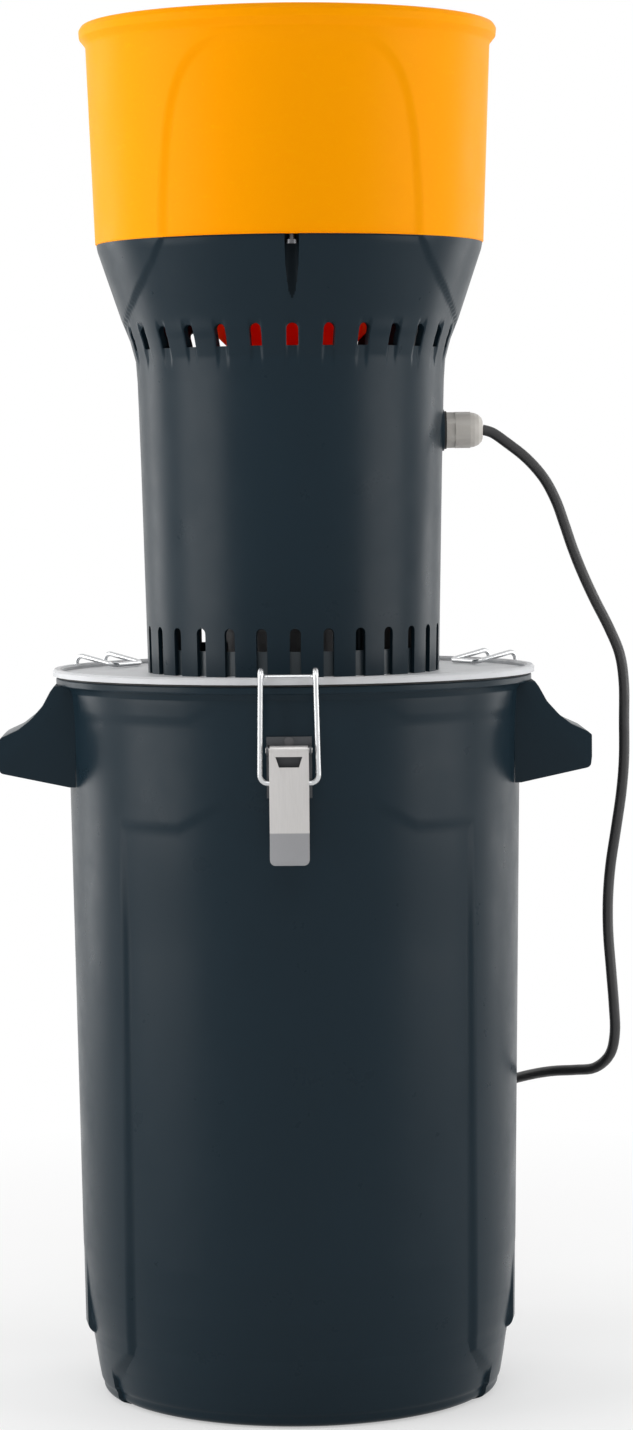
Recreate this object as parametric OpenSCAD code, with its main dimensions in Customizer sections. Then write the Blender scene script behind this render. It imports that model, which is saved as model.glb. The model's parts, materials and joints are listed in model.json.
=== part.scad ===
/* [Bucket] */
// Height of the bucket to the top of its lip
bucket_height = 536.5; // [480:0.5:600]
// Radius of the flat base at the side pillars
base_r = 140; // [130:1:145]
// Rounding radius where the base turns up into the wall
base_round = 10; // [6:1:14]
// Outer radius of the tucked-in foot
foot_r = 156; // [152:0.5:158]
// Height of the tucked-in foot
foot_z = 44; // [36:1:50]
// Outer radius of the wall where the foot tuck ends
waist_r = 162.5; // [159:0.5:163]
// Height where the foot tuck ends
waist_z = 113; // [95:1:130]
// Outer radius of the wall under the lip
mouth_r = 170; // [168:0.5:172]
// Width of the lip around the wall
lip_w = 7.2; // [6:0.2:8.4]
// Height of the lip
lip_h = 5.5; // [4:0.5:8]
// Wall thickness of the bucket
bucket_wall = 3; // [2:0.5:4]
// Depth of the front and rear panels
panel_depth = 3; // [1:0.5:4]
// Half width of a panel
panel_half_w = 127; // [110:1:132]
// Distance of a panel's upper edge under the top of the bucket, at its sides
panel_drop = 101.5; // [96:0.5:150]
// Extra height of a panel's upper edge at its middle
panel_step = 18; // [6:1:18]
// Half width of the raised middle of a panel's upper edge
panel_step_half_w = 55; // [30:1:60]

/* [Ears and lugs] */
// Reach of an ear from the bucket's axis
ear_reach = 219; // [205:1:225]
// Width of an ear
ear_w = 92; // [80:1:100]
// Wall thickness of an ear
ear_wall = 3; // [2:0.5:4]
// Distance of the lower edge of an ear's grip under the top of the bucket
ear_drop = 68.5; // [66:0.5:86]
// Height of an ear's grip
ear_grip_h = 28; // [22:1:32]
// Width of a foot lug
lug_w = 60; // [40:1:80]
// Height of the bottom of a foot lug
lug_low_z = 47; // [40:0.5:50]

/* [Lid] */
// Overhang of the lid around the lip
lid_over = 2.4; // [1.8:0.2:3.8]
// Thickness of the lid
lid_t = 1.6; // [1:0.2:2.4]
// Height of the raised rim over the lid's underside
lid_rim_h = 5; // [3:0.5:6]
// Width of the raised rim
lid_rim_w = 6.6; // [5:0.2:7.4]
// Thickness of the lid seal
gasket_t = 1.5; // [1:0.25:2]
// Height of the collar that centres the casing
collar_h = 18.4; // [12:0.4:22]
// Wall thickness of the collar
collar_wall = 3; // [2:0.5:4]

/* [Casing] */
// Height of the casing
casing_height = 316.4; // [310:0.2:340]
// Outer radius of the casing at its bottom
casing_bottom_r = 108.6; // [107:0.2:112]
// Outer radius of the casing where its cone starts
casing_neck_r = 115; // [114.5:0.1:117]
// Outer radius of the casing at its top
casing_top_r = 143; // [142:0.5:145]
// Height of the flared cone
cone_h = 86; // [80:1:92]
// Wall thickness of the casing
casing_wall = 3; // [2:0.5:3.5]
// Number of slots in a ring
slot_count = 28; // [20:4:32]
// Width of an upper slot
upper_slot_w = 8.5; // [6:0.5:10]
// Height of an upper slot
upper_slot_h = 16; // [12:0.5:18]
// Distance of the upper slots' lower ends under the casing's top
upper_slot_drop = 78; // [76:0.5:82]
// Width of a lower slot
lower_slot_w = 8; // [6:0.5:10]
// Height of a lower slot from the casing's bottom
lower_slot_h = 35.2; // [30:0.4:44]

/* [Hopper] */
// Height of the hopper over the casing
hopper_height = 161; // [140:1:190]
// How far the hopper's foot stands out past the casing's top edge
hopper_over = 1; // [0.5:0.5:4]
// How much wider the hopper is under its rim than at its foot
hopper_flare = 5.4; // [4.6:0.2:8]
// How far the rim stands out from the hopper's wall
rim_w = 5.1; // [4.1:0.5:7.1]
// Height of the rim
rim_h = 15.5; // [10:0.5:18]
// Wall thickness of the hopper
hopper_wall = 3; // [2:0.5:3.5]
// Radius of the flat floor at the bottom of the funnel
funnel_floor_r = 38; // [37:0.5:41]
// Height of the hopper screws' bosses
hopper_boss_h = 10; // [8:0.5:10]

/* [Feed gate] */
// Radius of the grain outlet
outlet_r = 13; // [9:0.5:13.5]
// Distance of the grain outlet from the axis
outlet_off = 20; // [18:0.5:20.5]
// Thickness of the gate disc
gate_t = 3; // [2:0.5:4]
// Radius of the gate spindle
spindle_r = 3; // [2.5:0.25:4]
// Radius of the gate knob
knob_r = 16; // [12:0.5:18]
// Height of the gate knob
knob_h = 20; // [14:1:26]
// Height of the knob over the funnel floor
knob_lift = 26; // [20:1:34]

/* [Chute] */
// Inner depth of the chute, along X
chute_in = 28; // [22:1:28]
// Inner width of the chute, along Y
chute_w = 44; // [34:1:48]
// Wall thickness of the chute
chute_wall = 2; // [1.5:0.25:2.5]
// Distance of the chute's inner side from the axis
chute_x = 60; // [59:0.5:62]

/* [Motor] */
// Outer radius of the motor
motor_r = 52; // [44:1:54]
// Length of the lamination stack
stack_h = 80; // [60:1:90]
// Length of an end shield
shield_h = 30; // [26:1:34]
// Outer radius of the rotor
rotor_r = 29; // [24:0.5:31]
// Radial air gap between rotor and stator
air_gap = 0.5; // [0.4:0.1:1]
// Radius of the motor shaft
shaft_r = 6; // [5:0.5:8]
// Outer radius of a bearing
bearing_r = 16; // [14:0.5:18]
// Thickness of a bearing
bearing_h = 10; // [8:1:12]
// Radius of the cooling fan
fan_r = 44; // [36:1:48]
// Height of the cooling fan
fan_h = 12; // [8:1:14]
// Number of fan vanes
fan_vanes = 9; // [6:1:12]

/* [Mill] */
// Length of a blade from tip to tip
blade_l = 170; // [140:2:176]
// Width of a blade
blade_w = 22; // [16:1:28]
// Thickness of a blade
blade_t = 3; // [2:0.5:4]
// Outer radius of the sieve
sieve_r = 96; // [94:0.5:97]
// Height of the sieve
sieve_h = 52; // [46:1:60]
// Thickness of the sieve sheet
sieve_t = 1.2; // [0.8:0.2:2]
// Radius of a sieve hole
sieve_hole_r = 2.5; // [1.5:0.25:3.5]
// Number of sieve holes in a ring
sieve_cols = 32; // [16:4:40]

/* [Latches] */
// Azimuth of the front latch
latch_azimuth = 268; // [264:1:276]
// Radius of the bail wire
wire_r = 1.9; // [1.5:0.1:2]
// Distance between the bail's legs at the lid
bail_w_top = 38.6; // [36:0.2:44]
// Distance between the bail's legs at the lever
bail_w_low = 41.6; // [40:0.2:44]
// Reach of the bail from the lid's edge over the lid
bail_reach = 31; // [30:0.5:34]
// Width of a lever
lever_w = 28; // [24:0.5:30]
// Length of a lever under its hinge
lever_l = 81; // [70:1:90]
// Thickness of the lever's sheet
lever_t = 1.2; // [0.8:0.2:1.6]
// Radius of the hinge pin
pin_r = 2; // [1.5:0.25:2]
// Height of the hinge pin under the lid's underside
pin_drop = 46; // [42:1:52]
// Distance of the bail's pivot under the hinge pin
bail_drop = 23.5; // [20:0.5:26]
// Distance of the bail's pivot behind the hinge pin
over_centre = 3; // [2:0.5:4]

/* [Gland and switch] */
// Height of the cable gland over the casing's bottom
gland_rise = 177.8; // [170:0.1:190]
// Radius of the gland's dome nut
gland_r = 13.5; // [12:0.5:15]
// Length of the gland's dome nut
gland_nut_l = 20.5; // [16:0.5:24]
// Height of the switch over the casing's bottom
switch_rise = 115.4; // [100:0.2:130]
// Width of the switch bezel
switch_w = 34; // [30:1:38]
// Height of the switch bezel
switch_h = 26; // [22:1:30]

/* [Cord] */
// Diameter of the power cord
cord_d = 8; // [7:0.1:8]
// Mean radius of the stored coil
coil_r = 44; // [42:0.5:46]
// Number of turns in the stored coil
coil_turns = 3.5; // [3.5:1:3.5]
// Radius of the plug
plug_r = 18.5; // [17:0.5:19]
// Length of the plug body
plug_l = 36; // [30:1:44]
// Length of a plug pin
plug_pin_l = 19; // [16:0.5:20]

/* [Hidden] */
$fn = 96;

big = 600;
eps = 0.05;
seat_gap = 0.3;
run_gap = 0.05;
screw_r = 2;
screw_head_r = 4;
screw_head_h = 3;
navy = [0.16, 0.19, 0.22];
orange = [0.98, 0.62, 0.05];
pale_grey = [0.76, 0.76, 0.77];
steel = [0.72, 0.72, 0.73];
black = [0.1, 0.1, 0.1];
copper = [0.72, 0.42, 0.2];

function shifted(profile, dr) = [for (p = profile) [p[0] + dr, p[1]]];
function backward(list) = [for (i = [len(list) - 1:-1:0]) list[i]];
function unit(v) = v / norm(v);
function radius_at(profile, z) = lookup(z, [for (p = profile) [p[1], p[0]]]);

module ring(r_out, r_in, z0, z1) {
    translate([0, 0, z0]) difference() {
        cylinder(r = r_out, h = z1 - z0);
        translate([0, 0, -1]) cylinder(r = r_in, h = z1 - z0 + 2);
    }
}

module on_circle(count, radius, start = 0) {
    for (i = [0:count - 1]) rotate([0, 0, start + i * 360 / count]) translate([radius, 0, 0]) children();
}

module at_azimuths(list, radius) {
    for (a = list) rotate([0, 0, a]) translate([radius, 0, 0]) children();
}

// A skin of revolution between two radial offsets of one outline
module turned_skin(profile, inner, outer) {
    rotate_extrude() polygon(concat(shifted(profile, outer), backward(shifted(profile, inner))));
}

module turned_solid(profile, dr) {
    last = len(profile) - 1;
    rotate_extrude() polygon(concat([[0, profile[0][1]]], shifted(profile, dr), [[0, profile[last][1]]]));
}

// Bucket outline, from the base up to the lip
lip_r = mouth_r + lip_w;
lip_low_z = bucket_height - lip_h;
flare_z = lip_low_z - 5;
bucket_outline = concat(
    [for (a = [-90:15:0]) [base_r + base_round * cos(a), base_round + base_round * sin(a)]],
    [[foot_r, foot_z], [(foot_r + waist_r) / 2 + 1, (foot_z + waist_z) / 2], [waist_r, waist_z],
        [mouth_r - 1.5, flare_z - 20], [mouth_r, flare_z], [mouth_r + 2.5, lip_low_z],
        [lip_r, lip_low_z], [lip_r, bucket_height]]);
wall_outline = [for (i = [0:len(bucket_outline) - 3]) bucket_outline[i]];
inner_outline = concat([[base_r, bucket_wall]],
    [for (p = wall_outline) if (p[1] > base_round - eps) [p[0] - bucket_wall, p[1]]],
    [[mouth_r + 2.5 - bucket_wall, bucket_height + 1]]);

function mirrored(points) = concat(points, [for (p = backward(points)) [-p[0], p[1]]]);
panel_top_z = bucket_height - panel_drop;
panel_low_w = 146;
panel_low_z = 12;
panel_step_run = 31;

module panel_prism(grow) {
    half = [[panel_step_half_w + grow, panel_top_z + panel_step + grow],
        [panel_step_half_w + panel_step_run + grow, panel_top_z + grow],
        [panel_half_w + grow, panel_top_z + grow],
        [panel_half_w + grow, foot_z],
        [panel_low_w + grow, panel_low_z],
        [panel_low_w + grow, -1 - grow]];
    rotate([90, 0, 0]) translate([0, 0, -big / 2]) linear_extrude(big) polygon(mirrored(half));
}

module half_space_pair() {
    for (side = [-1, 1]) translate([-big / 2, side * 60 - (side < 0 ? big : 0), -10])
        cube([big, big, 2 * big]);
}

module panel_cut() {
    intersection() {
        turned_skin(concat([[base_r, -1]], wall_outline), -panel_depth, 8);
        panel_prism(0);
        half_space_pair();
    }
}

module panel_backing() {
    intersection() {
        turned_skin(
            concat([[base_r, bucket_wall - 1]], [for (p = wall_outline) if (p[1] > base_round - eps) p]),
            -panel_depth - bucket_wall, 0.5 - bucket_wall);
        panel_prism(bucket_wall);
        half_space_pair();
    }
}

ear_low_z = bucket_height - ear_drop;
ear_high_z = ear_low_z + ear_grip_h;
ear_root_z = lip_low_z - 4;
ear_inner_x = mouth_r - 14;

module ear_shape() {
    polygon([[ear_inner_x, ear_low_z - 11], [mouth_r - 3.5, ear_low_z - 11], [ear_reach - 1, ear_low_z],
        [ear_reach, ear_low_z + 8], [ear_reach, ear_high_z - 4], [ear_reach - 3, ear_high_z - 1.5],
        [ear_reach - 15, ear_high_z + 4], [ear_reach - 24, ear_high_z + 11],
        [ear_reach - 33, ear_high_z + 21], [mouth_r + 10, ear_root_z + 1], [mouth_r + 7, lip_low_z + 1],
        [ear_inner_x, lip_low_z + 1]]);
}

module ear_hollow_shape() {
    polygon([[ear_inner_x - 1, ear_low_z - 20], [ear_reach - ear_wall, ear_low_z - 20],
        [ear_reach - ear_wall, ear_high_z - 6.5], [ear_reach - 17, ear_high_z],
        [ear_reach - 27, ear_high_z + 7.5], [ear_reach - 36.5, ear_high_z + 18],
        [mouth_r + 6, ear_root_z - 3], [ear_inner_x - 1, ear_root_z - 3]]);
}

module ear() {
    rotate([90, 0, 0]) difference() {
        translate([0, 0, -ear_w / 2]) linear_extrude(ear_w) ear_shape();
        translate([0, 0, -ear_w / 2 + ear_wall]) linear_extrude(ear_w - 2 * ear_wall) ear_hollow_shape();
    }
}

lug_r = waist_r - 0.3;

module foot_lug() {
    intersection() {
        rotate_extrude() polygon([[foot_r - 4, lug_low_z + 1], [foot_r, lug_low_z], [lug_r - 5, lug_low_z],
            [lug_r - 0.8, lug_low_z + 5], [lug_r, waist_z - 4], [lug_r - 3, waist_z + 2],
            [foot_r - 4, waist_z + 2]]);
        translate([foot_r - 20, 0, 0]) rotate([90, 0, 90]) linear_extrude(60) union() {
            translate([-lug_w / 2, 0]) square([lug_w, waist_z - 12]);
            translate([-lug_w / 2 + 14, 0]) square([lug_w - 28, waist_z + 2]);
            for (side = [-1, 1]) translate([side * (lug_w / 2 - 14), waist_z - 12]) circle(14);
        }
    }
}

// Latch frame: X points outward, Y along the hinge, Z up, at the azimuth of latch number i
lid_r = lip_r + lid_over;
lid_under_z = bucket_height + gasket_t;
lid_flat_z = lid_under_z + lid_t;
lid_rim_z = lid_under_z + lid_rim_h;
pin_z = lid_under_z - pin_drop;
pin_out = lid_r - 1.1;
pivot_z = pin_z - bail_drop;
pivot_out = pin_out - over_centre;
bracket_t = 1.5;
bracket_low_z = pivot_z - 11;
bracket_high_z = pin_z + 9;
wall_at_bracket = radius_at(wall_outline, bracket_high_z);
bracket_slope = (wall_at_bracket - radius_at(wall_outline, bracket_low_z)) / (bracket_high_z - bracket_low_z);
bracket_out = wall_at_bracket + seat_gap + bracket_t;
rivet_z = [pivot_z - 7, pin_z + 5.5];

module latch_frame(i) {
    rotate([0, 0, latch_azimuth + (i - 1) * 120]) children();
}

module rivet_holes() {
    for (i = [1:3], z = rivet_z) latch_frame(i) translate([mouth_r - 12, 0, z]) rotate([0, 90, 0])
        cylinder(r = screw_r + run_gap, h = 16);
}

module bucket() {
    color(navy) difference() {
        union() {
            difference() {
                union() {
                    turned_solid(bucket_outline, 0);
                    for (a = [0, 180]) rotate([0, 0, a]) {
                        difference() {
                            ear();
                            turned_solid([[ear_inner_x - 1, ear_low_z - 30],
                                [ear_inner_x - 1, bucket_height]], 0);
                        }
                        foot_lug();
                    }
                }
                rotate_extrude() polygon(concat([[0, bucket_wall]], inner_outline, [[0, bucket_height + 1]]));
                panel_cut();
            }
            panel_backing();
        }
        rivet_holes();
    }
}

module latch_bracket(i) {
    ear_in = lever_w / 2 + 0.5;
    color(steel) latch_frame(i) difference() {
        union() {
            difference() {
                translate([wall_at_bracket - 6, -ear_in - bracket_t, bracket_low_z])
                    cube([6 + seat_gap + bracket_t, 2 * (ear_in + bracket_t), bracket_high_z - bracket_low_z]);
                translate([0, 0, bracket_low_z - 40]) cylinder(h = bracket_high_z - bracket_low_z + 60,
                    r1 = wall_at_bracket + seat_gap - (bracket_high_z - bracket_low_z + 40) * bracket_slope,
                    r2 = wall_at_bracket + seat_gap + 20 * bracket_slope, $fn = 720);
            }
            for (side = [-1, 1]) translate([0, side * (ear_in + bracket_t / 2), 0]) {
                translate([bracket_out - 1, -bracket_t / 2, pin_z - pin_r - 1.6])
                    cube([pin_out - bracket_out + 1, bracket_t, 2 * pin_r + 3.2]);
                translate([pin_out, 0, pin_z]) rotate([90, 0, 0])
                    cylinder(r = pin_r + 1.6, h = bracket_t, center = true);
            }
        }
        translate([pin_out, 0, pin_z]) rotate([90, 0, 0]) cylinder(r = pin_r + run_gap, h = 60, center = true);
        for (z = rivet_z) translate([mouth_r - 12, 0, z]) rotate([0, 90, 0])
            cylinder(r = screw_r + run_gap, h = 16);
    }
}

module latch_pins() {
    pin_l = lever_w + 2 * (bracket_t + 1);
    color(steel) for (i = [1:3]) latch_frame(i) translate([pin_out, 0, pin_z]) rotate([90, 0, 0])
        cylinder(r = pin_r, h = pin_l, center = true);
}

module latch_rivets() {
    color(steel) for (i = [1:3], z = rivet_z) latch_frame(i) {
        shank_in = radius_at(wall_outline, z) - bucket_wall;
        translate([shank_in - 1.2, 0, z]) rotate([0, 90, 0])
            cylinder(r = screw_r, h = bracket_out - shank_in + 2);
        translate([bracket_out + 0.1, 0, z]) rotate([0, 90, 0]) cylinder(r = 3.4, h = 1);
        translate([shank_in - 1.3, 0, z]) rotate([0, 90, 0]) cylinder(r = 3.4, h = 1.1);
    }
}

knuckle_r = pin_r + run_gap + lever_t;
face_out = pin_out + knuckle_r;
lever_low_z = pin_z - lever_l;
tip_h = 22;
face_lean = 1.8;

module lever_profile() {
    low = lever_low_z + tip_h;
    polygon([[face_out, pin_z], [face_out - face_lean, low], [face_out + 2.7, lever_low_z],
        [face_out + 2.7 - lever_t, lever_low_z], [face_out - face_lean - lever_t, low + 0.4],
        [face_out - lever_t, pin_z]]);
}

module lever_outline() {
    corner = 4;
    translate([-lever_w / 2, lever_low_z + corner]) square([lever_w, lever_l + 8]);
    translate([-lever_w / 2 + corner, lever_low_z]) square([lever_w - 2 * corner, corner + 1]);
    for (side = [-1, 1]) translate([side * (lever_w / 2 - corner), lever_low_z + corner]) circle(corner);
}

module latch_lever(i) {
    knuckle_w = lever_w - 1;
    window_z = pin_z - 4.5;
    color(steel) latch_frame(i) difference() {
        union() {
            intersection() {
                rotate([90, 0, 0]) linear_extrude(lever_w, center = true) lever_profile();
                translate([pin_out - 12, 0, 0]) rotate([90, 0, 90]) linear_extrude(30) lever_outline();
            }
            translate([pin_out, 0, pin_z]) rotate([90, 0, 0])
                cylinder(r = knuckle_r, h = knuckle_w, center = true);
            for (side = [-1, 1]) translate([0, side * (lever_w - lever_t) / 2, 0]) rotate([90, 0, 0])
                linear_extrude(lever_t, center = true) polygon([[face_out - 0.4, pin_z - 5],
                    [pin_out - 1.5, pin_z - 8], [pivot_out - 3.6, pivot_z + 7], [pivot_out - 3.6, pivot_z - 7],
                    [face_out - face_lean - 0.4, lever_low_z + tip_h + 3]]);
        }
        translate([pin_out, 0, pin_z]) rotate([90, 0, 0]) cylinder(r = pin_r + run_gap, h = 60, center = true);
        translate([pivot_out, 0, pivot_z]) rotate([90, 0, 0])
            cylinder(r = wire_r + run_gap, h = 60, center = true);
        translate([pin_out, 0, 0]) rotate([90, 0, 90]) linear_extrude(20)
            polygon([[-9.5, window_z], [9.5, window_z], [7, window_z - 7.5], [-7, window_z - 7.5]]);
    }
}

// Wire along corner points, with an arc of its own radius at each inner corner.
// A straight run is a hundredth thinner than the arcs and laps into them.
module wire(points, bends, r) {
    lap = 0.3;
    last = len(points) - 1;
    dirs = [for (i = [0:last - 1]) unit(points[i + 1] - points[i])];
    turns = [for (i = [1:last - 1]) acos(dirs[i - 1] * dirs[i])];
    cuts = concat([0], [for (i = [1:last - 1]) bends[i - 1] * tan(turns[i - 1] / 2)], [0]);
    for (i = [0:last - 1]) {
        a = points[i] + dirs[i] * (cuts[i] - (i > 0 ? lap : 0));
        b = points[i + 1] - dirs[i] * (cuts[i + 1] - (i < last - 1 ? lap : 0));
        side = unit(cross(dirs[i], abs(dirs[i][2]) > 0.9 ? [1, 0, 0] : [0, 0, 1]));
        up = cross(dirs[i], side);
        frame_matrix(side, up, dirs[i], a) cylinder(r = r - 0.01, h = norm(b - a), $fn = 32);
    }
    for (i = [1:last - 1]) {
        normal = unit(cross(dirs[i - 1], dirs[i]));
        inward = cross(normal, dirs[i - 1]);
        start = points[i] - dirs[i - 1] * cuts[i];
        centre = start + inward * bends[i - 1];
        frame_matrix(-inward, dirs[i - 1], normal, centre) rotate_extrude(angle = turns[i - 1], $fn = 64)
            translate([bends[i - 1], 0]) circle(r, $fn = 32);
    }
}

module frame_matrix(x, y, z, origin) {
    multmatrix([[x[0], y[0], z[0], origin[0]], [x[1], y[1], z[1], origin[1]],
        [x[2], y[2], z[2], origin[2]], [0, 0, 0, 1]]) children();
}

hook_out = lid_r - bail_reach;
hook_z = lid_flat_z + wire_r + 0.5;
crown_out = lid_r + 4;
crown_z = lid_rim_z + wire_r + 4.7;

module latch_bail(i) {
    top = bail_w_top / 2;
    low = bail_w_low / 2;
    inside = lever_w / 2 - lever_t - 3;
    color(steel) latch_frame(i) wire([[pivot_out, -inside, pivot_z], [pivot_out, -low, pivot_z],
        [crown_out, -top, crown_z], [hook_out, -top, hook_z], [hook_out, top, hook_z],
        [crown_out, top, crown_z], [pivot_out, low, pivot_z], [pivot_out, inside, pivot_z]],
        [6, 5, 5, 5, 5, 6], wire_r);
}

// Lid: sheet, raised rim and collar
shaft_hole_r = shaft_r + 2;
boss_r = 5.5;
boss_h = 44;
screw_bite = 20;
boss_ring_r = sieve_r - 8;
casing_screw_start = 2.5 * 360 / slot_count;
motor_bolt_r = 3;
motor_bolt_ring_r = motor_r + 6.5;
motor_foot_t = 6;
motor_nut_r = 5.5;
motor_nut_h = 4;
stud_ring_r = sieve_r + 10;
chute_mid_x = chute_x + chute_in / 2;
collar_r = casing_bottom_r - casing_wall - seat_gap;

module lid_plate() {
    color(pale_grey) difference() {
        union() {
            ring(lid_r, shaft_hole_r - 1, lid_under_z, lid_flat_z);
            rotate_extrude() polygon([[lid_r - lid_rim_w, lid_under_z + 0.2], [lid_r, lid_under_z + 0.2],
                [lid_r, lid_rim_z - 1.4], [lid_r - 1.4, lid_rim_z], [lid_r - lid_rim_w + 1.4, lid_rim_z],
                [lid_r - lid_rim_w, lid_rim_z - 1.4]]);
            ring(collar_r, collar_r - collar_wall, lid_flat_z - eps, lid_flat_z + collar_h);
        }
        translate([0, 0, lid_under_z - 5]) {
            cylinder(r = shaft_hole_r, h = 20);
            on_circle(4, boss_ring_r, casing_screw_start) cylinder(r = screw_r + 0.2, h = 20);
            on_circle(4, motor_bolt_ring_r, 45) cylinder(r = motor_bolt_r + 0.1, h = 20);
            translate([chute_mid_x, 0, 10]) cube([chute_in, chute_w, 20], center = true);
        }
    }
}

module lid_gasket() {
    color(black) ring(lip_r - 1, mouth_r - 0.5, bucket_height, lid_under_z);
}

// Casing outline, from the lid up to the hopper
casing_top_z = lid_flat_z + casing_height;
neck_z = casing_top_z - cone_h;
taper_drop = 75;
casing_outline = [[casing_bottom_r, lid_flat_z],
    [(casing_bottom_r + casing_neck_r) / 2 + 0.3, neck_z - taper_drop],
    [casing_neck_r - 1.1, neck_z - 15], [casing_neck_r, neck_z], [casing_neck_r + 4, neck_z + 15],
    [casing_neck_r + 10, neck_z + 30], [casing_top_r - 0.8, casing_top_z - 5], [casing_top_r, casing_top_z - 1],
    [casing_top_r, casing_top_z]];
flange_t = 4;
hopper_screw_r = casing_top_r - 6;
hopper_base_r = casing_top_r + hopper_over;
hopper_top_r = hopper_base_r + hopper_flare;
rim_r = hopper_top_r + rim_w;
channel_r = 5.5;
channel_l = 56;
gland_z = lid_flat_z + gland_rise;
gland_wall_r = radius_at(casing_outline, gland_z);
gland_pad_r = gland_wall_r + 1;
gland_thread_r = 8;
switch_z = lid_flat_z + switch_rise;
switch_face = radius_at(casing_outline, switch_z) + 1.4;
switch_body_w = switch_w - 6;
switch_body_h = switch_h - 6;

module slot_ring(width, low_z, high_z, from_r) {
    on_circle(slot_count, from_r, 270) rotate([90, 0, 90]) linear_extrude(casing_top_r) {
        translate([-width / 2, low_z]) square([width, high_z - width / 2 - low_z]);
        translate([0, high_z - width / 2]) circle(width / 2);
    }
}

module casing_bosses() {
    web_l = casing_bottom_r - boss_ring_r;
    on_circle(4, boss_ring_r, casing_screw_start) {
        translate([0, 0, lid_flat_z]) cylinder(r = boss_r, h = boss_h);
        translate([0, -1.5, lid_flat_z + collar_h + 1]) cube([web_l - 1, 3, boss_h - collar_h - 1]);
    }
}

module casing() {
    color(navy) difference() {
        union() {
            difference() {
                union() {
                    turned_skin(casing_outline, -casing_wall, 0);
                    ring(casing_top_r - 0.5, casing_top_r - 14, casing_top_z - flange_t, casing_top_z);
                    intersection() {
                        turned_solid(casing_outline, -0.3);
                        on_circle(3, hopper_screw_r, 270) translate([0, 0, casing_top_z - 42])
                            cylinder(r = channel_r + 2.5, h = 42);
                    }
                    intersection() {
                        translate([-switch_w / 2 - 2, switch_face - 8, switch_z - switch_h / 2 - 2])
                            cube([switch_w + 4, 8, switch_h + 4]);
                        turned_solid([[switch_face + 4, lid_flat_z], [switch_face + 4, casing_top_z]], 0);
                    }
                    translate([gland_wall_r - 5, 0, gland_z]) rotate([0, 90, 0])
                        cylinder(r = gland_r + 2, h = 6);
                }
                slot_ring(upper_slot_w, casing_top_z - upper_slot_drop,
                    casing_top_z - upper_slot_drop + upper_slot_h, casing_neck_r - 12);
                slot_ring(lower_slot_w, lid_flat_z - 1, lid_flat_z + lower_slot_h, casing_bottom_r - 8);
                translate([gland_wall_r - 20, 0, gland_z]) rotate([0, 90, 0])
                    cylinder(r = gland_thread_r + 0.1, h = 40);
                translate([gland_wall_r - 3.5 - 20, 0, gland_z]) rotate([0, 90, 0])
                    cylinder(r = gland_r + 1, h = 20);
                translate([-switch_body_w / 2 - 0.2, switch_face - 20, switch_z - switch_body_h / 2 - 0.2])
                    cube([switch_body_w + 0.4, 40, switch_body_h + 0.4]);
                on_circle(3, hopper_screw_r, 270) {
                    translate([0, 0, casing_top_z - flange_t - channel_l])
                        cylinder(r = channel_r, h = channel_l);
                    translate([0, 0, casing_top_z - flange_t - 1])
                        cylinder(r = screw_r + 0.1, h = flange_t + 2);
                }
            }
            casing_bosses();
        }
        on_circle(4, boss_ring_r, casing_screw_start) translate([0, 0, lid_flat_z - 1])
            cylinder(r = screw_r + run_gap, h = screw_bite + 4);
    }
}

module casing_screws() {
    color(steel) on_circle(4, boss_ring_r, casing_screw_start) {
        translate([0, 0, lid_under_z - screw_head_h]) cylinder(r = screw_head_r, h = screw_head_h);
        translate([0, 0, lid_under_z - 1]) cylinder(r = screw_r, h = lid_t + screw_bite);
    }
}

// Hopper: wall, rim and a 45 degree funnel in one piece
hopper_top_z = casing_top_z + hopper_height;
funnel_meet_r = hopper_base_r - hopper_wall;
funnel_meet_z = casing_top_z + 23;
floor_top_z = funnel_meet_z - (funnel_meet_r - funnel_floor_r);
floor_t = 3;
floor_z = floor_top_z - floor_t;
funnel_drop = hopper_wall * sqrt(2);
hopper_boss_r = 5;

module hopper() {
    rim_low = hopper_top_z - rim_h;
    color(orange) difference() {
        union() {
            rotate_extrude() polygon([[hopper_base_r, casing_top_z], [hopper_top_r, rim_low],
                [rim_r - 1.5, rim_low], [rim_r, rim_low + 2], [rim_r, hopper_top_z - 4],
                [rim_r - 2, hopper_top_z - 0.8], [rim_r - 4, hopper_top_z],
                [hopper_top_r - 1, hopper_top_z - 0.8],
                [hopper_top_r - hopper_wall, hopper_top_z - 4], [funnel_meet_r, funnel_meet_z],
                [funnel_floor_r, floor_top_z], [0, floor_top_z], [0, floor_z],
                [funnel_floor_r + funnel_drop - floor_t, floor_z],
                [funnel_meet_r, funnel_meet_z - funnel_drop], [funnel_meet_r, casing_top_z]]);
            on_circle(3, hopper_screw_r, 270) translate([0, 0, casing_top_z])
                cylinder(r = hopper_boss_r, h = hopper_boss_h);
        }
        on_circle(3, hopper_screw_r, 270) translate([0, 0, casing_top_z - 1])
            cylinder(r = screw_r + run_gap, h = hopper_boss_h - 1);
        translate([0, 0, floor_z - 5]) cylinder(r = spindle_r + run_gap, h = 20);
        translate([outlet_off, 0, floor_z - 5]) cylinder(r = outlet_r, h = 20);
        at_azimuths(gate_screw_azimuths, gate_screw_ring_r) translate([0, 0, floor_z - 1])
            cylinder(r = gate_screw_r + run_gap, h = 3);
    }
}

module hopper_screws() {
    color(steel) on_circle(3, hopper_screw_r, 270) {
        translate([0, 0, casing_top_z - flange_t - screw_head_h]) cylinder(r = screw_head_r, h = screw_head_h);
        translate([0, 0, casing_top_z - flange_t - 1]) cylinder(r = screw_r, h = flange_t + hopper_boss_h - 3);
    }
}

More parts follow.
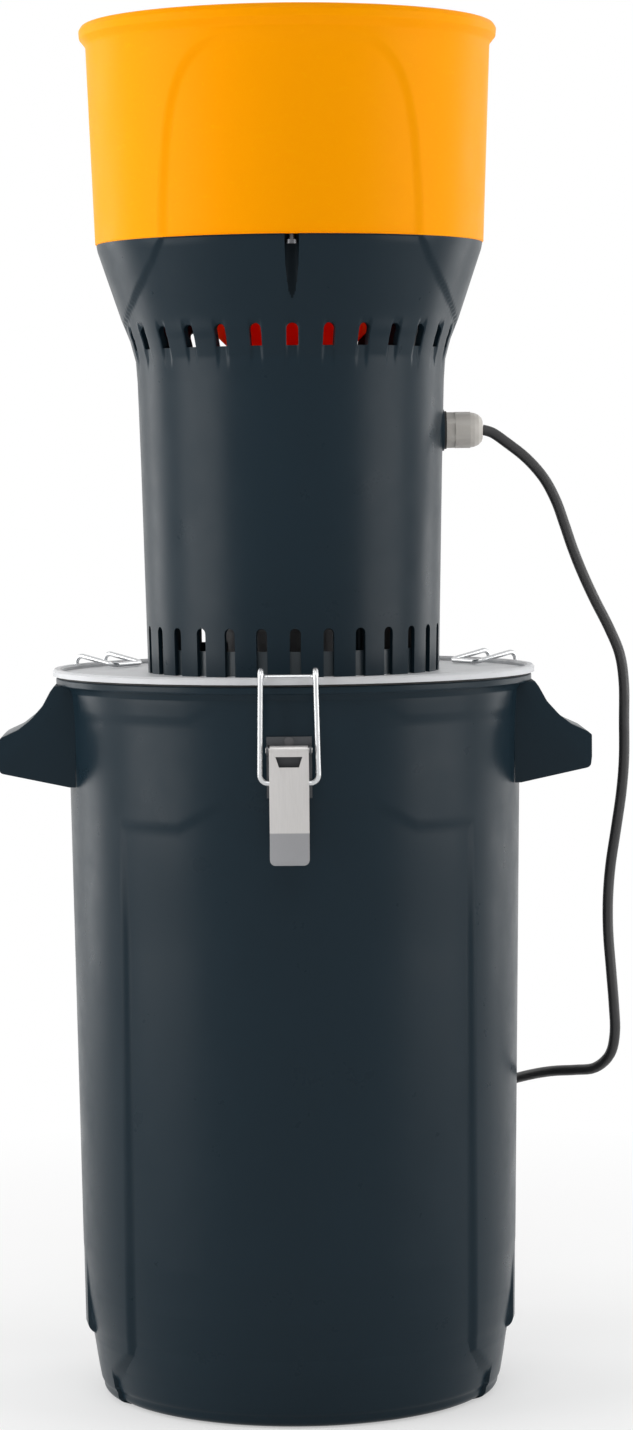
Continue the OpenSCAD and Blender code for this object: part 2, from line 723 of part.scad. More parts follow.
// Feed gate: a disc with one hole, turned from inside the hopper
cup_r = funnel_floor_r + 1.2;
cup_wall = 5;
gate_low_z = floor_z - seat_gap - gate_t;
cup_floor_t = 3;
cup_z = gate_low_z - seat_gap - cup_floor_t;
gate_r = cup_r - cup_wall - 0.3;
gate_screw_ring_r = cup_r - cup_wall / 2;
gate_screw_r = 1.45;
gate_screw_azimuths = [90, 180, 270];
knob_z = floor_top_z + knob_lift;

module feed_gate_disc() {
    color(steel) difference() {
        translate([0, 0, gate_low_z]) cylinder(r = gate_r, h = gate_t);
        translate([0, 0, gate_low_z - 1]) cylinder(r = spindle_r, h = gate_t + 2);
        translate([outlet_off, 0, gate_low_z - 1]) cylinder(r = outlet_r, h = gate_t + 2);
    }
}

module feed_gate_spindle() {
    color(steel) difference() {
        translate([0, 0, cup_z - 6]) cylinder(r = spindle_r, h = knob_z + knob_h * 0.6 - cup_z + 6);
        translate([0, 0, cup_z - 2.5]) difference() {
            cylinder(r = spindle_r + 1, h = 1.2);
            translate([0, 0, -1]) cylinder(r = spindle_r - 0.8, h = 4);
        }
    }
}

module feed_gate_knob() {
    flutes = 12;
    color(black) difference() {
        union() {
            translate([0, 0, knob_z]) cylinder(r = knob_r, h = knob_h - 2);
            translate([0, 0, knob_z + knob_h - 2]) cylinder(r1 = knob_r, r2 = knob_r - 2, h = 2);
            translate([0, 0, knob_z - 4]) cylinder(r = spindle_r + 4, h = 4 + eps);
        }
        translate([0, 0, knob_z - 5]) cylinder(r = spindle_r, h = 5 + knob_h * 0.6);
        on_circle(flutes, knob_r + 1.6, 15) translate([0, 0, knob_z - 1]) cylinder(r = 2.6, h = knob_h + 2);
        translate([knob_r - 9, -0.8, knob_z + knob_h - 0.6]) cube([8, 1.6, 2]);
    }
}

module feed_gate_clip() {
    color(steel) difference() {
        ring(spindle_r + 1.2, spindle_r - 0.75, cup_z - 2.4, cup_z - 1.4);
        translate([0, -1.2, cup_z - 3]) cube([spindle_r + 4, 2.4, 4]);
    }
}

chute_bend_z = floor_z - 61;
throat_gap = 0.5;

module chute_shape(grow, top_z, low_z) {
    x0 = outlet_off - outlet_r - throat_gap - grow;
    x1 = outlet_off + outlet_r + throat_gap + grow;
    x2 = chute_x - grow;
    x3 = chute_x + chute_in + grow;
    slant = grow * 0.42;
    polygon([[x0, top_z], [x1, top_z], [x1, chute_bend_z + x3 - x1 + slant - grow],
        [x3, chute_bend_z + slant - grow], [x3, low_z], [x2, low_z],
        [x2, chute_bend_z - 5 - slant], [x0, chute_bend_z - 5 + x2 - x0 - slant]]);
}

module grain_chute() {
    color(black) difference() {
        union() {
            ring(cup_r, cup_r - cup_wall, cup_z, floor_z);
            translate([0, 0, cup_z]) cylinder(r = cup_r - 1, h = cup_floor_t);
            rotate([90, 0, 0]) linear_extrude(chute_w + 2 * chute_wall, center = true)
                chute_shape(chute_wall, cup_z + 1, lid_flat_z);
        }
        rotate([90, 0, 0]) linear_extrude(chute_w, center = true)
            chute_shape(0, cup_z - 1, lid_flat_z - 5);
        translate([outlet_off, 0, cup_z - 5]) cylinder(r = outlet_r, h = 12);
        translate([0, 0, cup_z - 5]) cylinder(r = spindle_r + run_gap, h = 20);
        at_azimuths(gate_screw_azimuths, gate_screw_ring_r) translate([0, 0, cup_z - 5])
            cylinder(r = gate_screw_r + 0.15, h = 30);
    }
}

module gate_screws() {
    color(steel) at_azimuths(gate_screw_azimuths, gate_screw_ring_r) {
        translate([0, 0, cup_z - 2]) cylinder(r = 2.4, h = 2);
        translate([0, 0, cup_z - 1]) cylinder(r = gate_screw_r, h = floor_z - cup_z + 2.5);
    }
}

// Motor, standing on the lid
motor_z = lid_flat_z;
stack_z = motor_z + shield_h;
stack_top_z = stack_z + stack_h;
motor_top_z = stack_top_z + shield_h;
shield_t = 4;
bearing_low_z = motor_z + 5;
bearing_high_z = motor_top_z - 5 - bearing_h;
tie_ring_r = motor_r - 5;
tie_r = 2;
fan_z = motor_top_z + 3;

module motor_stator() {
    color(steel) difference() {
        ring(motor_r, rotor_r + air_gap, stack_z, stack_top_z);
        on_circle(4, tie_ring_r, 0) translate([0, 0, stack_z - 1]) cylinder(r = tie_r + 0.1, h = stack_h + 2);
    }
}

module motor_windings() {
    color(copper) for (z = [stack_z - 12, stack_top_z]) ring(tie_ring_r - tie_r - 3, rotor_r + 2, z, z + 12);
}

module end_shield(z, up) {
    // z is the stack's face, and up is 1 on the upper shield and -1 on the lower one
    flat_z = up > 0 ? z + shield_h - shield_t : z - shield_h;
    seat_z = up > 0 ? bearing_high_z : bearing_low_z;
    difference() {
        union() {
            ring(motor_r, motor_r - 3, min(z, z + up * shield_h), max(z, z + up * shield_h));
            ring(motor_r - 1, bearing_r - 2, flat_z, flat_z + shield_t);
            ring(bearing_r + 3, bearing_r + run_gap,
                min(seat_z, flat_z), max(seat_z + bearing_h, flat_z + shield_t));
            on_circle(4, tie_ring_r, 0) translate([0, 0, min(z, z + up * shield_h)])
                cylinder(r = tie_r + 1.8, h = shield_h);
        }
        on_circle(4, tie_ring_r, 0) translate([0, 0, z - shield_h - 5])
            cylinder(r = tie_r + 0.1, h = 2 * shield_h + 10);
        on_circle(12, motor_r, 15) translate([0, 0, z + up * (shield_h / 2 - 2) - 5])
            translate([-6, -4, 0]) cube([12, 8, 10]);
    }
}

module motor_shield_upper() {
    color(pale_grey) end_shield(stack_top_z, 1);
}

module motor_shield_lower() {
    color(pale_grey) difference() {
        union() {
            end_shield(stack_z, -1);
            on_circle(4, motor_bolt_ring_r, 45) {
                translate([0, 0, motor_z]) cylinder(r = motor_bolt_r + 3, h = motor_foot_t);
                translate([-8, -5, motor_z]) cube([8, 10, motor_foot_t]);
            }
        }
        on_circle(4, motor_bolt_ring_r, 45) translate([0, 0, motor_z - 1])
            cylinder(r = motor_bolt_r + 0.1, h = motor_foot_t + 6);
    }
}

module motor_tie_rods() {
    color(steel) on_circle(4, tie_ring_r, 0) {
        translate([0, 0, motor_z + 1]) cylinder(r = tie_r, h = motor_top_z - motor_z);
        translate([0, 0, motor_top_z]) cylinder(r = 3.6, h = 2.5, $fn = 6);
    }
}

module motor_bolts() {
    color(steel) on_circle(4, motor_bolt_ring_r, 45) {
        translate([0, 0, lid_under_z - screw_head_h]) cylinder(r = motor_nut_r, h = screw_head_h, $fn = 6);
        translate([0, 0, lid_under_z - 1])
            cylinder(r = motor_bolt_r, h = lid_t + motor_foot_t + motor_nut_h + 2);
        translate([0, 0, motor_z + motor_foot_t]) cylinder(r = motor_nut_r, h = motor_nut_h, $fn = 6);
    }
}

module bearing(z) {
    color(steel) ring(bearing_r, shaft_r + run_gap, z, z + bearing_h);
}

module bearing_upper() {
    bearing(bearing_high_z);
}

module bearing_lower() {
    bearing(bearing_low_z);
}

module rotor_core() {
    color(steel) ring(rotor_r, shaft_r, stack_z, stack_top_z);
}

// Mill under the lid
hub_r = 13;
step_r = shaft_r - 1.5;
blade_gap = 8;
blade_high_z = lid_under_z - 20;
blade_low_z = blade_high_z - blade_gap - blade_t;
shaft_low_z = blade_low_z - blade_t - 10;
stud_r = 2.5;
sieve_z = lid_under_z - sieve_h;
cover_t = 2;

module motor_shaft() {
    top_z = fan_z + fan_h;
    color(steel) {
        translate([0, 0, blade_high_z + blade_t]) cylinder(r = shaft_r, h = top_z - blade_high_z - blade_t);
        translate([0, 0, shaft_low_z]) cylinder(r = step_r, h = blade_high_z + blade_t - shaft_low_z + eps);
    }
}

module cooling_fan() {
    color(black) difference() {
        union() {
            ring(fan_r, shaft_r, fan_z, fan_z + 2);
            ring(shaft_r + 6, shaft_r, fan_z, fan_z + fan_h);
            on_circle(fan_vanes, 0, 0) translate([shaft_r + 4, -0.8, fan_z + 1])
                cube([fan_r - shaft_r - 5, 1.6, fan_h - 1]);
        }
        translate([0, 0, fan_z - 1]) cylinder(r = shaft_r, h = fan_h + 2);
    }
}

module blade(z, azimuth) {
    tip = blade_l / 2;
    half = blade_w / 2;
    color(steel) difference() {
        rotate([0, 0, azimuth]) difference() {
            translate([-tip, -half, z]) cube([blade_l, blade_w, blade_t]);
            for (side = [0, 180]) rotate([0, 0, side]) translate([tip * 0.45, half - 5, z + blade_t])
                rotate([-25, 0, 0]) cube([tip, 12, 6]);
        }
        translate([0, 0, z - 1]) cylinder(r = step_r, h = blade_t + 2);
    }
}

module blade_upper() {
    blade(blade_high_z, 20);
}

module blade_lower() {
    blade(blade_low_z, 110);
}

module blade_spacer() {
    color(steel) ring(hub_r, step_r, blade_low_z + blade_t, blade_high_z);
}

module blade_nut() {
    nut_h = 7;
    color(steel) difference() {
        union() {
            translate([0, 0, blade_low_z - nut_h]) cylinder(r = hub_r - 2.5, h = nut_h - 1.5, $fn = 6);
            translate([0, 0, blade_low_z - 1.5]) cylinder(r = hub_r, h = 1.5);
        }
        translate([0, 0, blade_low_z - nut_h - 1]) cylinder(r = step_r, h = nut_h + 2);
    }
}

module sieve_screen() {
    rows = [0.32, 0.68];
    color(steel) difference() {
        ring(sieve_r, sieve_r - sieve_t, sieve_z, lid_under_z);
        for (share = rows) on_circle(sieve_cols, sieve_r - 8, share * 10)
            translate([0, 0, sieve_z + sieve_h * share]) rotate([0, 90, 0]) cylinder(r = sieve_hole_r, h = 16);
    }
}

module sieve_cover() {
    color(pale_grey) difference() {
        union() {
            translate([0, 0, sieve_z - cover_t]) cylinder(r = sieve_r + 4, h = cover_t);
            ring(sieve_r - sieve_t - 0.3, sieve_r - sieve_t - 2.3, sieve_z - eps, sieve_z + 4);
            on_circle(3, stud_ring_r, 30) translate([0, 0, sieve_z - cover_t]) cylinder(r = 8, h = cover_t);
        }
        on_circle(3, stud_ring_r, 30) translate([0, 0, sieve_z - 5]) cylinder(r = stud_r + 0.1, h = 10);
    }
}

module sieve_studs() {
    weld_t = 1.2;
    color(steel) on_circle(3, stud_ring_r, 30) {
        translate([0, 0, sieve_z - cover_t - 12]) cylinder(r = stud_r, h = sieve_h + cover_t + 12 - weld_t);
        translate([0, 0, lid_under_z - weld_t]) cylinder(r = stud_r + 2, h = weld_t);
    }
}

module wing_nuts() {
    low_z = sieve_z - cover_t - 6;
    color(steel) on_circle(3, stud_ring_r, 30) difference() {
        union() {
            translate([0, 0, low_z]) cylinder(r = 4.5, h = 6);
            for (side = [-1, 1]) translate([side * 7, 0, low_z]) rotate([90, 0, 0])
                cylinder(r = 5, h = 1.8, center = true);
        }
        translate([0, 0, low_z - 10]) cylinder(r = stud_r + run_gap, h = 20);
        translate([0, 0, low_z + 6]) cylinder(r = 20, h = 10);
    }
}

// Electrical pieces beside the motor
cap_r = 18;
cap_h = 48;
cap_x = casing_neck_r - 33.9;
cap_z = cup_z - 23;

module capacitor() {
    color([0.2, 0.2, 0.22]) {
        translate([cap_x, 0, cap_z]) cylinder(r = cap_r, h = cap_h);
        translate([cap_x, 0, cap_z + cap_h - eps]) cylinder(r = cap_r - 4, h = 3);
    }
}

module capacitor_clip() {
    clip_z = cap_z + 8;
    clip_h = 8;
    seat = radius_at(casing_outline, clip_z) - casing_wall - seat_gap;
    color(steel) {
        translate([cap_x, 0, 0]) ring(cap_r + 1.1, cap_r + 0.1, clip_z, clip_z + clip_h);
        translate([cap_x + cap_r + 0.5, -5, clip_z]) cube([seat - cap_x - cap_r - 1, 10, clip_h]);
    }
}

block_azimuth = 25;
block_out = radius_at(casing_outline, gland_z) - casing_wall - 0.6;
block_d = 12;
block_w = 30;
block_h = 16;

module terminal_block() {
    color([0.85, 0.85, 0.8]) rotate([0, 0, block_azimuth]) difference() {
        translate([block_out - block_d - 1, -block_w / 2, gland_z - block_h / 2])
            cube([block_d, block_w, block_h]);
        for (y = [-10, 0, 10]) translate([block_out - block_d - 2, y, gland_z + 3]) rotate([0, 90, 0])
            cylinder(r = 2.2, h = 8);
    }
}

// The cord's sheathed end, through the gland to the terminal block, clear of the cord's first bend
lead_gap = 1.5;

module internal_lead() {
    lead_x = gland_wall_r - 15.5;
    corner_x = (block_out - block_d - 1) * cos(block_azimuth) + block_w / 2 * sin(block_azimuth);
    corner_y = (block_out - block_d - 1) * sin(block_azimuth) - block_w / 2 * cos(block_azimuth);
    end_y = corner_y + (lead_x - cord_r - corner_x) * tan(block_azimuth) - seat_gap;
    color(black) wire([[gland_end_x - lead_gap, 0, gland_z], [lead_x, 0, gland_z], [lead_x, end_y, gland_z]],
        [5], cord_r);
}

// Cable gland at +X
washer_t = 1.6;
hex_l = 6.5;
nut_x = gland_pad_r + washer_t + hex_l;
gland_end_x = nut_x + gland_nut_l;

module along_x(x) {
    translate([x, 0, gland_z]) rotate([0, 90, 0]) children();
}

module gland_washer() {
    color(black) along_x(gland_pad_r) difference() {
        cylinder(r = gland_r + 0.6, h = washer_t);
        translate([0, 0, -1]) cylinder(r = gland_thread_r + 0.1, h = washer_t + 2);
    }
}

module gland_body() {
    thread_l = gland_pad_r + washer_t - gland_wall_r + 10;
    color(pale_grey) difference() {
        union() {
            along_x(gland_pad_r + washer_t) intersection() {
                cylinder(r = gland_r - 0.2, h = hex_l);
                cylinder(r = gland_r + 0.8, h = hex_l, $fn = 6);
            }
            along_x(gland_wall_r - 10) cylinder(r = gland_thread_r, h = thread_l + 1);
            along_x(nut_x - eps) cylinder(r = gland_thread_r, h = 8);
        }
        along_x(gland_wall_r - 12) cylinder(r = cord_d / 2 + 0.2, h = 60);
    }
}

module gland_nut() {
    color(pale_grey) difference() {
        along_x(nut_x) union() {
            intersection() {
                cylinder(r = gland_r, h = gland_nut_l * 0.55);
                cylinder(r = gland_r + 1, h = gland_nut_l * 0.55, $fn = 8);
            }
            translate([0, 0, gland_nut_l * 0.55 - eps]) rotate_extrude() polygon([[0, 0], [gland_r - 0.4, 0],
                [gland_r - 0.9, gland_nut_l * 0.15], [gland_r - 2.2, gland_nut_l * 0.3],
                [gland_r - 4.6, gland_nut_l * 0.42], [gland_r - 6.4, gland_nut_l * 0.45 + eps],
                [0, gland_nut_l * 0.45 + eps]]);
        }
        along_x(nut_x - 1) cylinder(r = gland_thread_r + 0.1, h = 9.5);
        along_x(nut_x) cylinder(r = cord_d / 2 + 0.2, h = gland_nut_l + 10);
    }
}

module gland_locknut() {
    color(pale_grey) difference() {
        along_x(gland_wall_r - 3.5 - 5) cylinder(r = gland_r - 1, h = 4.9, $fn = 6);
        along_x(gland_wall_r - 12) cylinder(r = gland_thread_r + run_gap, h = 20);
    }
}

// Rocker switch at the rear
bezel_t = 2;
rocker_w = switch_body_w - 7;
rocker_h = switch_body_h - 4;
rocker_pivot_y = switch_face - 1;

module at_switch() {
    translate([0, switch_face, switch_z]) rotate([90, 0, 180]) children();
}

module switch_bezel() {
    color(black) at_switch() difference() {
        translate([-switch_w / 2, -switch_h / 2, 0.1]) cube([switch_w, switch_h, bezel_t]);
        translate([-rocker_w / 2 - 0.6, -rocker_h / 2 - 1.4, -1]) cube([rocker_w + 1.2, rocker_h + 2.8, 6]);
    }
}

module switch_body() {
    color(black) at_switch() difference() {
        translate([-switch_body_w / 2, -switch_body_h / 2, -18]) cube([switch_body_w, switch_body_h, 18]);
        translate([-rocker_w / 2 - 0.6, -rocker_h / 2 - 1.4, -7]) cube([rocker_w + 1.2, rocker_h + 2.8, 8]);
    }
}

module switch_rocker() {
    half = rocker_h / 2;
    color([0.75, 0.1, 0.08]) translate([0, rocker_pivot_y, switch_z]) rotate([6, 0, 0]) rotate([90, 0, 180])
        rotate([0, 90, 0]) linear_extrude(rocker_w, center = true)
            polygon([[2.5, -half], [-4.6, -half], [-3.2, 0], [-4.6, half], [2.5, half], [4, 0]]);
}

// Power cord: the stretch from the gland to the coil behind the bucket
route = [[gland_end_x, 0, gland_z], [150, 0, 715], [160, 0, 708], [175, 0, 696], [188, 0, 681],
    [197, 0, 664], [203, 0, 647], [209, 0, 629], [216, 0, 611], [225, 0, 591], [236, 0, 569],
    [244, 0, 549], [247, 0, 527], [247, 0, 500], [247, 2, 471], [245, 4, 445], [241, 6, 417],
    [237, 8, 390], [235, 9, 365], [235, 9, 339], [237, 8, 310], [239, 9, 284], [240, 13, 262],
    [237, 23, 244], [227, 37, 232], [213, 53, 228], [198, 69, 225], [183, 87, 220], [165, 108, 212],
    [143, 130, 200], [117, 150, 184], [88, 166, 163], [62, 176, 130], [44, 182, 96], [32, 187, 62],
    [25, 191, 34], [17, 193, 15], [8, 194, 6.4], [0, 194, 5.1]];
cord_r = cord_d / 2;
tie_t = 1;
coil_pitch = 9;
coil_half_turns = 2;
coil_centre = [-10, 194 + coil_r + coil_pitch * coil_half_turns / 2];
layer_rise = cord_d + 0.6;
coil_low = cord_r + tie_t + 0.1;
tail_z = plug_r;
cord_sides = 8;
coil_sides = 6;
coil_rings = 24;

function spline(p0, p1, p2, p3, t) = 0.5 * (2 * p1 + (p2 - p0) * t + (2 * p0 - 5 * p1 + 4 * p2 - p3) * t * t
    + (3 * p1 - p0 - 3 * p2 + p3) * t * t * t);
function smooth_path(points, steps) = let (n = len(points) - 1) concat(
    [for (i = [0:n - 1], s = [0:steps - 1])
        spline(points[max(i - 1, 0)], points[i], points[i + 1], points[min(i + 2, n)], s / steps)],
    [points[n]]);
function path_dir(path, i) = unit(path[min(i + 1, len(path) - 1)] - path[max(i - 1, 0)]);
function carried(path, i, v) = let (d = path_dir(path, i)) unit(v - d * (v * d));
function side_vectors(path, i, found) = i >= len(path) ? found
    : side_vectors(path, i + 1, concat(found, [carried(path, i, found[i - 1])]));
function path_steps(path) = [for (i = [1:len(path) - 1]) norm(path[i] - path[i - 1])];
function path_length(path) = len(path) < 2 ? 0
    : path_steps(path) * [for (i = [2:len(path)]) 1];

// One closed tube of triangles along a path
module tube(path, r, sides, first_side) {
    n = len(path);
    frames = side_vectors(path, 1, [carried(path, 0, first_side)]);
    points = [for (i = [0:n - 1], k = [0:sides - 1])
        let (d = path_dir(path, i), u = frames[i], v = cross(d, u), a = 360 * k / sides)
            path[i] + r * (cos(a) * u + sin(a) * v)];
    walls = [for (i = [0:n - 2], k = [0:sides - 1])
        let (a = i * sides + k, b = i * sides + (k + 1) % sides)
            each [[a, a + sides, b], [b, a + sides, b + sides]]];
    first_cap = [for (k = [1:sides - 2]) [0, k, k + 1]];
    last = (n - 1) * sides;
    last_cap = [for (k = [1:sides - 2]) [last, last + k + 1, last + k]];
    polyhedron(points, concat(walls, first_cap, last_cap));
}

free_path = smooth_path(route, 2);

module power_cord() {
    color(black) tube(free_path, cord_r, cord_sides, [0, 1, 0]);
}

// Coil: two turns spiral in, climb a layer over half a turn, and spiral out again
function coil_radius(t) = coil_r + coil_pitch * (coil_half_turns / 2)
    - coil_pitch * min(t, 2 * coil_half_turns - t);
function ramp(t, from, to) = let (s = min(1, max(0, (t - from) / (to - from)))) s * s * (3 - 2 * s);
function coil_z(t) = coil_low + layer_rise * ramp(t, coil_half_turns - 0.25, coil_half_turns + 0.25)
    + (tail_z - coil_low - layer_rise) * ramp(t, coil_turns - 0.5, coil_turns);
function coil_point(t) = let (a = 270 - 360 * t)
    [coil_centre[0] + coil_radius(t) * cos(a), coil_centre[1] + coil_radius(t) * sin(a), coil_z(t)];
coil_start = coil_point(0);
coil_end = coil_point(coil_turns);
lead_in = 10;
tail_l = 30;
coil_loop = [for (i = [0:round(coil_turns * coil_rings)]) coil_point(i / coil_rings)];
coil_path = concat([coil_start + [lead_in, 0, 0], coil_start + [0.2, 0, 0]],
    [for (i = [1:len(coil_loop) - 2]) coil_loop[i]],
    [coil_end, coil_end + [tail_l * 0.5, 0, 0], coil_end + [tail_l, 0, 0]]);
coil_gap = min([for (i = [0:len(coil_loop) - 1], j = [0:len(coil_loop) - 1])
    if (j > i + coil_rings / 2) norm(coil_loop[i] - coil_loop[j])]) - cord_d;

module cord_coil() {
    color(black) tube(coil_path, cord_r, coil_sides, [0, 0, 1]);
}

module cord_tie() {
    in_r = coil_radius(coil_half_turns - 0.25) - cord_r - 1.6;
    out_r = coil_radius(0.75) + cord_r + 0.6;
    top_z = coil_low + layer_rise + cord_r + 0.6;
    strap_w = 14;
    color([0.3, 0.3, 0.32]) translate([coil_centre[0], coil_centre[1], 0]) difference() {
        translate([in_r - tie_t, -strap_w / 2, 0.02]) cube([out_r - in_r + 2 * tie_t, strap_w, top_z + tie_t]);
        translate([in_r, -strap_w / 2 - 1, tie_t - 0.1]) cube([out_r - in_r, strap_w + 2, top_z - tie_t + 0.1]);
    }
}

relief_l = 28;
plug_x = coil_end[0] + tail_l;

module at_plug(x) {
    translate([x, coil_end[1], tail_z]) rotate([0, 90, 0]) children();
}

module plug_relief() {
    ribs = 4;
    color(black) at_plug(plug_x) difference() {
        union() {
            cylinder(r1 = cord_r + 1.6, r2 = cord_r + 3.6, h = relief_l);
            for (i = [0:ribs - 1]) translate([0, 0, 3 + i * 6]) cylinder(r = cord_r + 2.6 + i * 0.5, h = 3);
        }
        translate([0, 0, -1]) cylinder(r = cord_r + 0.2, h = relief_l - 3);
    }
}

module plug_body() {
    color(black) at_plug(plug_x + relief_l) rotate_extrude() polygon([[0, 0], [9, 0], [11, 2],
        [13.5, plug_l * 0.3], [14, plug_l * 0.55], [plug_r - 0.8, plug_l * 0.68],
        [plug_r, plug_l * 0.72], [plug_r, plug_l - 1], [plug_r - 1, plug_l], [0, plug_l]]);
}

module plug_pins() {
    pin_half = 9.5;
    plug_pin_r = 2.4;
    color(steel) at_plug(plug_x + relief_l + plug_l) for (side = [-1, 1]) translate([0, side * pin_half, 0]) {
        cylinder(r = plug_pin_r, h = plug_pin_l - plug_pin_r);
        translate([0, 0, plug_pin_l - plug_pin_r]) sphere(plug_pin_r, $fn = 24);
    }
}

echo(free_length = path_length(free_path), coil_length = path_length(coil_path), coil_gap = coil_gap);

bucket();
latch_bracket(1);  // latch_bracket_1
latch_bracket(2);  // latch_bracket_2
latch_bracket(3);  // latch_bracket_3
latch_lever(1);  // latch_lever_1
latch_lever(2);  // latch_lever_2
latch_lever(3);  // latch_lever_3
latch_bail(1);  // latch_bail_1
latch_bail(2);  // latch_bail_2
latch_bail(3);  // latch_bail_3
latch_pins();
latch_rivets();
lid_plate();
lid_gasket();
casing();
casing_screws();
hopper();
hopper_screws();
feed_gate_disc();
feed_gate_spindle();
feed_gate_knob();
feed_gate_clip();
grain_chute();
gate_screws();
motor_stator();
motor_windings();
motor_shield_upper();
motor_shield_lower();
motor_tie_rods();
bearing_upper();
bearing_lower();
rotor_core();
motor_shaft();
cooling_fan();
motor_bolts();
capacitor();
capacitor_clip();
terminal_block();
internal_lead();
gland_body();
gland_nut();
gland_locknut();
gland_washer();
switch_bezel();
switch_body();
switch_rocker();
blade_upper();
blade_lower();
blade_spacer();
blade_nut();
sieve_screen();
sieve_cover();
sieve_studs();
wing_nuts();
power_cord();
cord_coil();
cord_tie();
plug_body();
plug_relief();
plug_pins();
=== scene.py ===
"""Electric grain mill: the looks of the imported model, in metres, in the frame of part.scad."""
import json
from math import acos, atan2, cos, hypot, pi, radians, sin, tan

import bmesh
import bpy
import numpy as np
from mathutils import Matrix, Vector

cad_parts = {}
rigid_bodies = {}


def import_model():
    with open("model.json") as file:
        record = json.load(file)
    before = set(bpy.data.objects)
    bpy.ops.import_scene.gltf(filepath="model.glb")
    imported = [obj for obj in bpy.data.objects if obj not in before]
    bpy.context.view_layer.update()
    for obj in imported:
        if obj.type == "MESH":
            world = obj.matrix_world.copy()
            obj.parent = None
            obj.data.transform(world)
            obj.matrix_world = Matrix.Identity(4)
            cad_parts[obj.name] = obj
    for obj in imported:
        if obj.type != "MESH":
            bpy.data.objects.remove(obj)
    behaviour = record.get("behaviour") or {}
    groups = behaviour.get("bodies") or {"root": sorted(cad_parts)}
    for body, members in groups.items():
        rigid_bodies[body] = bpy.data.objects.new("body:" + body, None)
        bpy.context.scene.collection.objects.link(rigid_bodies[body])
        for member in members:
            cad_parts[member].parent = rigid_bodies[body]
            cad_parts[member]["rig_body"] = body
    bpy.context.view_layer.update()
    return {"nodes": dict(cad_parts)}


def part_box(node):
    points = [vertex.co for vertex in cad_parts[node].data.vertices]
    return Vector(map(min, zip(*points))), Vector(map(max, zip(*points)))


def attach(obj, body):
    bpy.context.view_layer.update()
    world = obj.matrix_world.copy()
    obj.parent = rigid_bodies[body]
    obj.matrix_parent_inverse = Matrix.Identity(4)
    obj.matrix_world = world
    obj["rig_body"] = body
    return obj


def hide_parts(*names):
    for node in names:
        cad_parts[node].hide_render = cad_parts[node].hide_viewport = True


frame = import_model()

MM = 0.001
NODES = frame["nodes"]

# Camera, fitted to the photograph
IMAGE_HEIGHT = 1430
SENSOR_HEIGHT = 24
FOCAL_PX = 4004.6
CAMERA_DISTANCE = 2.9894
CAMERA_HEIGHT = 0.68814
CAMERA_TURN = -0.7
CAMERA_PAN = 0.319
CAMERA_TILT = 3.49
CAMERA_ROLL = 0.575


def make_camera():
    """A camera whose turn is about the object's axis and whose pan, tilt and roll are about itself."""
    data = bpy.data.cameras.new("camera")
    data.sensor_fit = "VERTICAL"
    data.sensor_height = SENSOR_HEIGHT
    data.lens = SENSOR_HEIGHT * FOCAL_PX / IMAGE_HEIGHT
    camera = bpy.data.objects.new("camera", data)
    bpy.context.scene.collection.objects.link(camera)
    turn = radians(CAMERA_TURN)
    heading = radians(CAMERA_PAN - CAMERA_TURN)
    tilt = radians(CAMERA_TILT)
    roll = radians(CAMERA_ROLL)
    forward = Vector((sin(heading) * cos(tilt), cos(heading) * cos(tilt), -sin(tilt)))
    right = forward.cross(Vector((0, 0, 1))).normalized()
    up = right.cross(forward)
    right, up = right * cos(roll) - up * sin(roll), right * sin(roll) + up * cos(roll)
    matrix = Matrix((right, up, -forward)).transposed().to_4x4()
    matrix.translation = (CAMERA_DISTANCE * sin(turn), -CAMERA_DISTANCE * cos(turn), CAMERA_HEIGHT)
    camera.matrix_world = matrix
    bpy.context.scene.camera = camera


make_camera()


# Helpers for pieces
def link(name, mesh, material, body, *replaced):
    """A new piece from a mesh, with its material, on its body, in place of CAD nodes."""
    piece = bpy.data.objects.new(name, mesh)
    bpy.context.scene.collection.objects.link(piece)
    piece.data.materials.clear()
    piece.data.materials.append(material)
    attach(piece, body)
    if replaced:
        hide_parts(*replaced)
    return piece


def smooth_by_angle(mesh, angle):
    mesh.shade_smooth()
    mesh.set_sharp_from_angle(angle=radians(angle))


MOST_OF_A_SIDE = 0.49
WELD = 1e-6


def fillet(points, radii, steps):
    """An open outline in which each corner but the two ends is rounded by its own radius."""
    out = []
    for i, (x, y) in enumerate(points):
        r = radii[i]
        if r <= 0 or i in (0, len(points) - 1):
            out.append((x, y))
            continue
        before = Vector(points[i - 1]) - Vector((x, y))
        after = Vector(points[i + 1]) - Vector((x, y))
        a, b = before.normalized(), after.normalized()
        half = acos(max(-1, min(1, a.dot(b)))) / 2
        taken = min(r / tan(half), before.length * MOST_OF_A_SIDE, after.length * MOST_OF_A_SIDE)
        r = taken * tan(half)
        centre = Vector((x, y)) + (a + b).normalized() * (r / sin(half))
        start = Vector((x, y)) + a * taken - centre
        end = Vector((x, y)) + b * taken - centre
        turn = atan2(start.x * end.y - start.y * end.x, start.dot(end))
        for k in range(steps + 1):
            t = turn * k / steps
            out.append((centre.x + start.x * cos(t) - start.y * sin(t),
                        centre.y + start.x * sin(t) + start.y * cos(t)))
    return out


def spaced(points, step):
    """The outline again, with no stretch between two points longer than step."""
    out = [points[0]]
    for (x0, y0), (x1, y1) in zip(points, points[1:]):
        n = max(1, int(np.ceil(hypot(x1 - x0, y1 - y0) / step)))
        out += [(x0 + (x1 - x0) * k / n, y0 + (y1 - y0) * k / n) for k in range(1, n + 1)]
    return out


